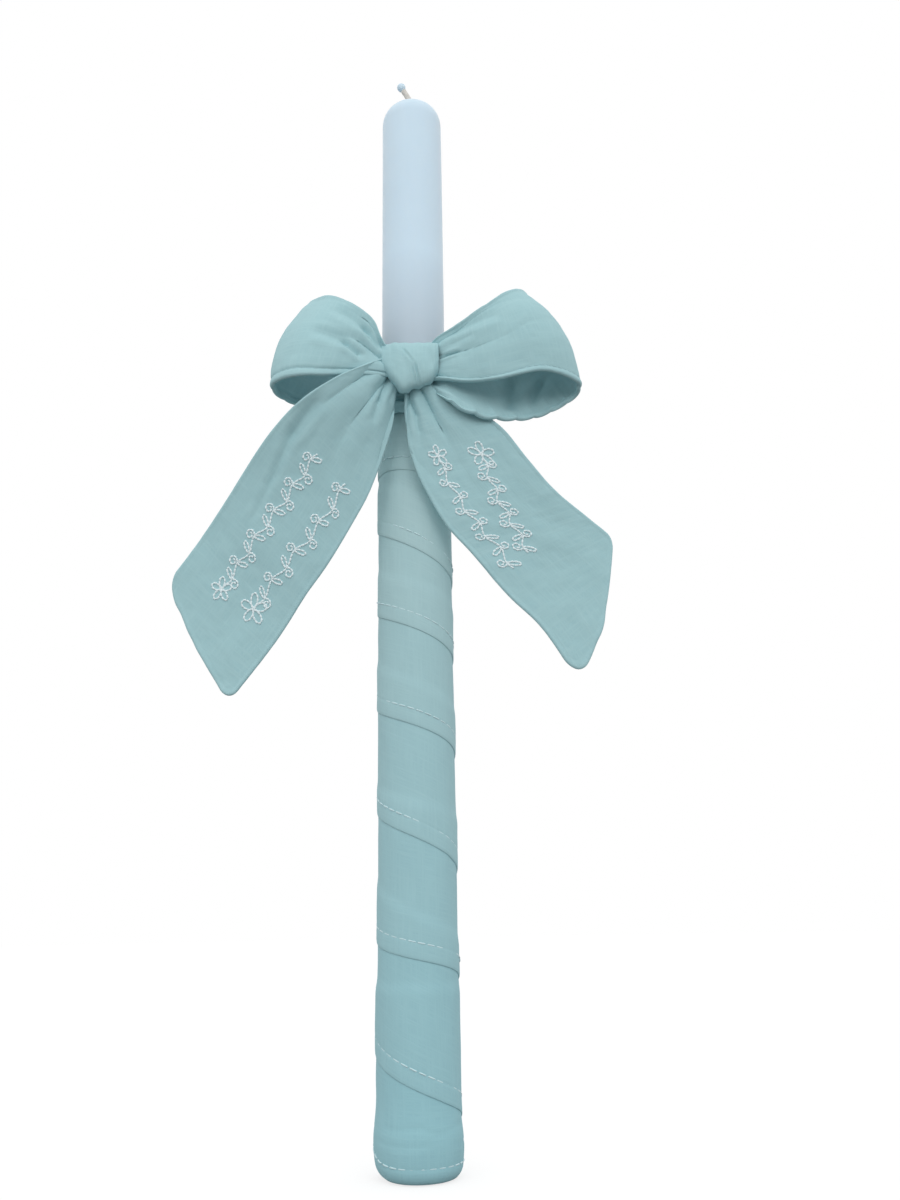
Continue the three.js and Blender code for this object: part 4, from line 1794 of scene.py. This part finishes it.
def tail(side: Side) -> Strip:
    """Gives one tail of the bow, down to its slanted end.

    Args:
        side: Which tail.

    Returns:
        The tail's ribbon.
    """
    if side is Side.RIGHT:
        return Strip(
            "tail_right", "bow_tail_right",
            [(-3.4, 8.4, -4.5), (-3.4, 8.6, -12.6), (-4.0, 8.0, -20.3), (-3.1, 7.2, -28.7),
             (-1.8, 6.2, -39.4), (2.9, 4.8, -53.8), (13.2, 3.0, -71.5), (26.0, 0.7, -86.0),
             (41.0, -1.6, -103.8), (55.0, -3.6, -118.6), (69.2, -5.6, -140.4)],
            [(2.0, 8.4, -3.5), (8.7, 10.8, -8.3), (18.8, 11.4, -15.1), (28.6, 10.6, -20.6),
             (39.8, 9.0, -29.7), (49.2, 6.0, -41.5), (61.7, 1.8, -55.5), (76.4, -2.6, -66.8),
             (88.8, -5.6, -76.7), (98.8, -7.6, -88.3), (110.2, -9.6, -103.6)],
            [0, 0, 0, 1, 1, 1, 1, 1, 0, 0, 0], "hung", seed=4, cut=41.0, cut_bow=8.0,
            corner=8.5, cut_wave=-0.6,
            edge=SewnEdge(roll=0.8, seam=2.4, sink=0.03),
            creases=[Crease((-1.2, 316.0), (1.1, 310.0), 1.3, 1.0),
                     Crease((1.1, 310.0), (2.4, 302.2), 0.9, 1.3),
                     Crease((2.4, 302.2), (2.8, 295.4), 0.4, 1.7),
                     Crease((8.7, 324.1), (15.3, 317.1), 1.3, 0.8),
                     Crease((15.3, 317.1), (25.0, 312.1), 0.7, 1.2),
                     Crease((5.0, 317.2), (13.5, 301.6), 0.6, 1.8)])
    return Strip(
        "tail_left", "bow_tail_left",
        [(-5.7, 8.4, -1.5), (-7.5, 8.8, -9.7), (-8.6, 8.2, -19.4), (-11.1, 7.2, -30.7),
         (-15.6, 6.0, -45.6), (-23.0, 4.4, -64.4), (-34.2, 1.8, -84.7),
         (-46.3, -1.6, -100.8), (-57.8, -5.6, -118.4), (-68.7, -7.6, -133.7),
         (-79.7, -8.6, -148.2)],
        [(-9.3, 8.4, 8.7), (-14.9, 15.4, 2.1), (-23.9, 21.4, -4.8), (-34.4, 24.9, -12.1),
         (-47.7, 23.4, -21.4), (-60.3, 16.4, -31.7), (-72.8, 7.4, -46.0),
         (-84.6, 0.4, -62.0), (-96.1, -4.6, -78.3), (-109.9, -7.6, -98.0),
         (-122.6, -8.6, -117.9)],
        [0, 0, 0, 1, 1, 1, 1, 1, 0, 0, 0], "hung", seed=5, cut=26.0, cut_bow=1.2,
        cut_wave=0.9,
        edge=SewnEdge(roll=0.8, seam=2.4, sink=0.03),
        creases=[Crease((-11.4, 325.6), (-15.8, 314.1), 1.6, 0.9),
                 Crease((-15.8, 314.1), (-18.4, 305.3), 1.0, 1.4),
                 Crease((-7.5, 321.6), (-8.4, 312.2), 1.3, 0.8),
                 Crease((-41.4, 310.4), (-53.3, 296.2), 1.5, 2.2),
                 Crease((-53.3, 296.2), (-61.4, 279.2), 0.8, 1.7),
                 Crease((-61.4, 279.2), (-69.7, 263.6), 0.5, 1.5),
                 Crease((-21.2, 318.8), (-34.6, 291.2), 0.5, 3.2)])


@dataclass
class Studio:
    """White paper under and behind the candle, soft lamps, and the camera.

    The lamps' sizes and places are in metres, their power, `key`, is in watts, and the
    camera's three angles are in degrees.
    """

    paper_radius: float = 6.0
    eye_mm: Triple = (0.006, -450.173, 93.881)
    yaw: float = 1.9819
    pitch: float = 16.994
    roll: float = -1.003
    lens: float = 31.5
    sensor: float = 36.0
    surround: float = 0.95
    key: float = 4.9
    lamp_size: float = 1.0
    lamp_aside: float = 0.65
    lamp_before: float = 1.6
    lamp_up: float = 0.75
    lamps_aim: float = 0.3

    def build(self) -> None:
        """Builds the floor, the world, the lamps and the camera."""
        self.floor()
        self.world()
        self.lamp("left_softbox", -1)
        self.lamp("right_softbox", 1)
        self.camera()

    def floor(self) -> None:
        """Lays the paper: one round sheet, level with the table."""
        sides, below = 96, -0.0001
        points = np.column_stack([self.paper_radius * away(ring(sides)), np.full(sides, below)])
        mesh = bpy.data.meshes.new("floor")
        mesh.from_pydata(points.tolist(), [], [list(range(sides))])
        mesh.materials.append(StudioPaper().material())
        sheet = bpy.data.objects.new("floor", mesh)
        bpy.context.scene.collection.objects.link(sheet)

    def world(self) -> None:
        """Lights from all round, and shows white where nothing else is seen."""
        world = bpy.data.worlds.new("surround")
        world.use_nodes = True
        tree = world.node_tree
        tree.nodes.clear()
        light, white = (add_node(tree, "ShaderNodeBackground", {
            "Color": linear("#ffffff"), "Strength": strength,
        }) for strength in (self.surround, 1.0))
        both = add_node(tree, "ShaderNodeMixShader", links={
            0: seen_directly(tree), 1: light.outputs[0], 2: white.outputs[0]})
        add_node(tree, "ShaderNodeOutputWorld", links={0: both.outputs[0]})
        bpy.context.scene.world = world

    def lamp(self, name: str, side: int) -> None:
        """Hangs a soft square lamp before the candle, which faces the bow.

        Args:
            name: The lamp's name.
            side: -1 for the left, or 1 for the right.
        """
        data = bpy.data.lights.new(name, "AREA")
        data.size = self.lamp_size
        data.energy = self.key
        lamp = bpy.data.objects.new(name, data)
        place = Vector((side * self.lamp_aside, -self.lamp_before, self.lamp_up))
        lamp.location = place
        aim = Vector((0, 0, self.lamps_aim)) - place
        lamp.rotation_euler = aim.to_track_quat("-Z", "Y").to_euler()
        bpy.context.scene.collection.objects.link(lamp)

    def camera(self) -> None:
        """Sets the camera at the photograph's viewing angle."""
        yaw, pitch, roll = (math.radians(a) for a in (self.yaw, self.pitch, self.roll))
        ahead = Vector((math.sin(yaw) * math.cos(pitch), math.cos(yaw) * math.cos(pitch),
                        math.sin(pitch)))
        level = Vector((math.cos(yaw), -math.sin(yaw), 0))
        upright = level.cross(ahead)
        right = level * math.cos(roll) + upright * math.sin(roll)
        up = upright * math.cos(roll) - level * math.sin(roll)
        data = bpy.data.cameras.new("camera")
        data.lens = self.lens
        data.sensor_width = self.sensor
        data.sensor_fit = "AUTO"
        camera = bpy.data.objects.new("camera", data)
        camera.matrix_world = Matrix((
            (right.x, up.x, -ahead.x, self.eye_mm[0] * MM),
            (right.y, up.y, -ahead.y, self.eye_mm[1] * MM),
            (right.z, up.z, -ahead.z, self.eye_mm[2] * MM),
            (0, 0, 0, 1)))
        bpy.context.scene.collection.objects.link(camera)
        bpy.context.scene.camera = camera


def sew(strip: Strip, sprigs: list[Sprig], finishes: Finishes) -> Piece:
    """Builds a loop with its seam, or a tail with its embroidery.

    Args:
        strip: The loop or the tail.
        sprigs: The vines on it.
        finishes: The shared materials.

    Returns:
        The strip's cloth.
    """
    piece = strip.build(finishes)
    sewn = [] if strip.cut else [strip.seam(finishes)]
    for n, sprig in enumerate(sprigs, 1):
        sewn.append(sprig.build(f"{strip.name}_sprig_{n}", strip, finishes.pale_thread))
    return piece


def main() -> None:
    """Builds each part of the candle in order, then the studio round it."""
    logging.basicConfig(level=logging.INFO, format="%(name)s: %(message)s")
    bpy.context.scene.view_settings.view_transform = "Standard"
    finishes = make_finishes()
    candle = Candle()
    made = [candle.body(finishes), candle.wick(finishes), candle.tip(finishes),
            BaseCover().build(finishes), Winding().build(finishes), Collar().build(finishes),
            Knot().build(finishes)]
    vines = {
        Side.LEFT: [Sprig((130, 33), (60, 31), waves=5), Sprig((126, 16), (61, 12), petal=6.5)],
        Side.RIGHT: [Sprig((48, 35), (98, 20), petal=6.5), Sprig((44, 14), (102, 10), curl=2.0)],
    }
    made += [sew(loop(side), [], finishes) for side in Side]
    made += [sew(tail(side), vines[side], finishes) for side in Side]
    for piece in made:
        log.info("%s: %d faces", piece.name, len(piece.data.polygons))
    Studio().build()


if __name__ == "__main__":
    main()
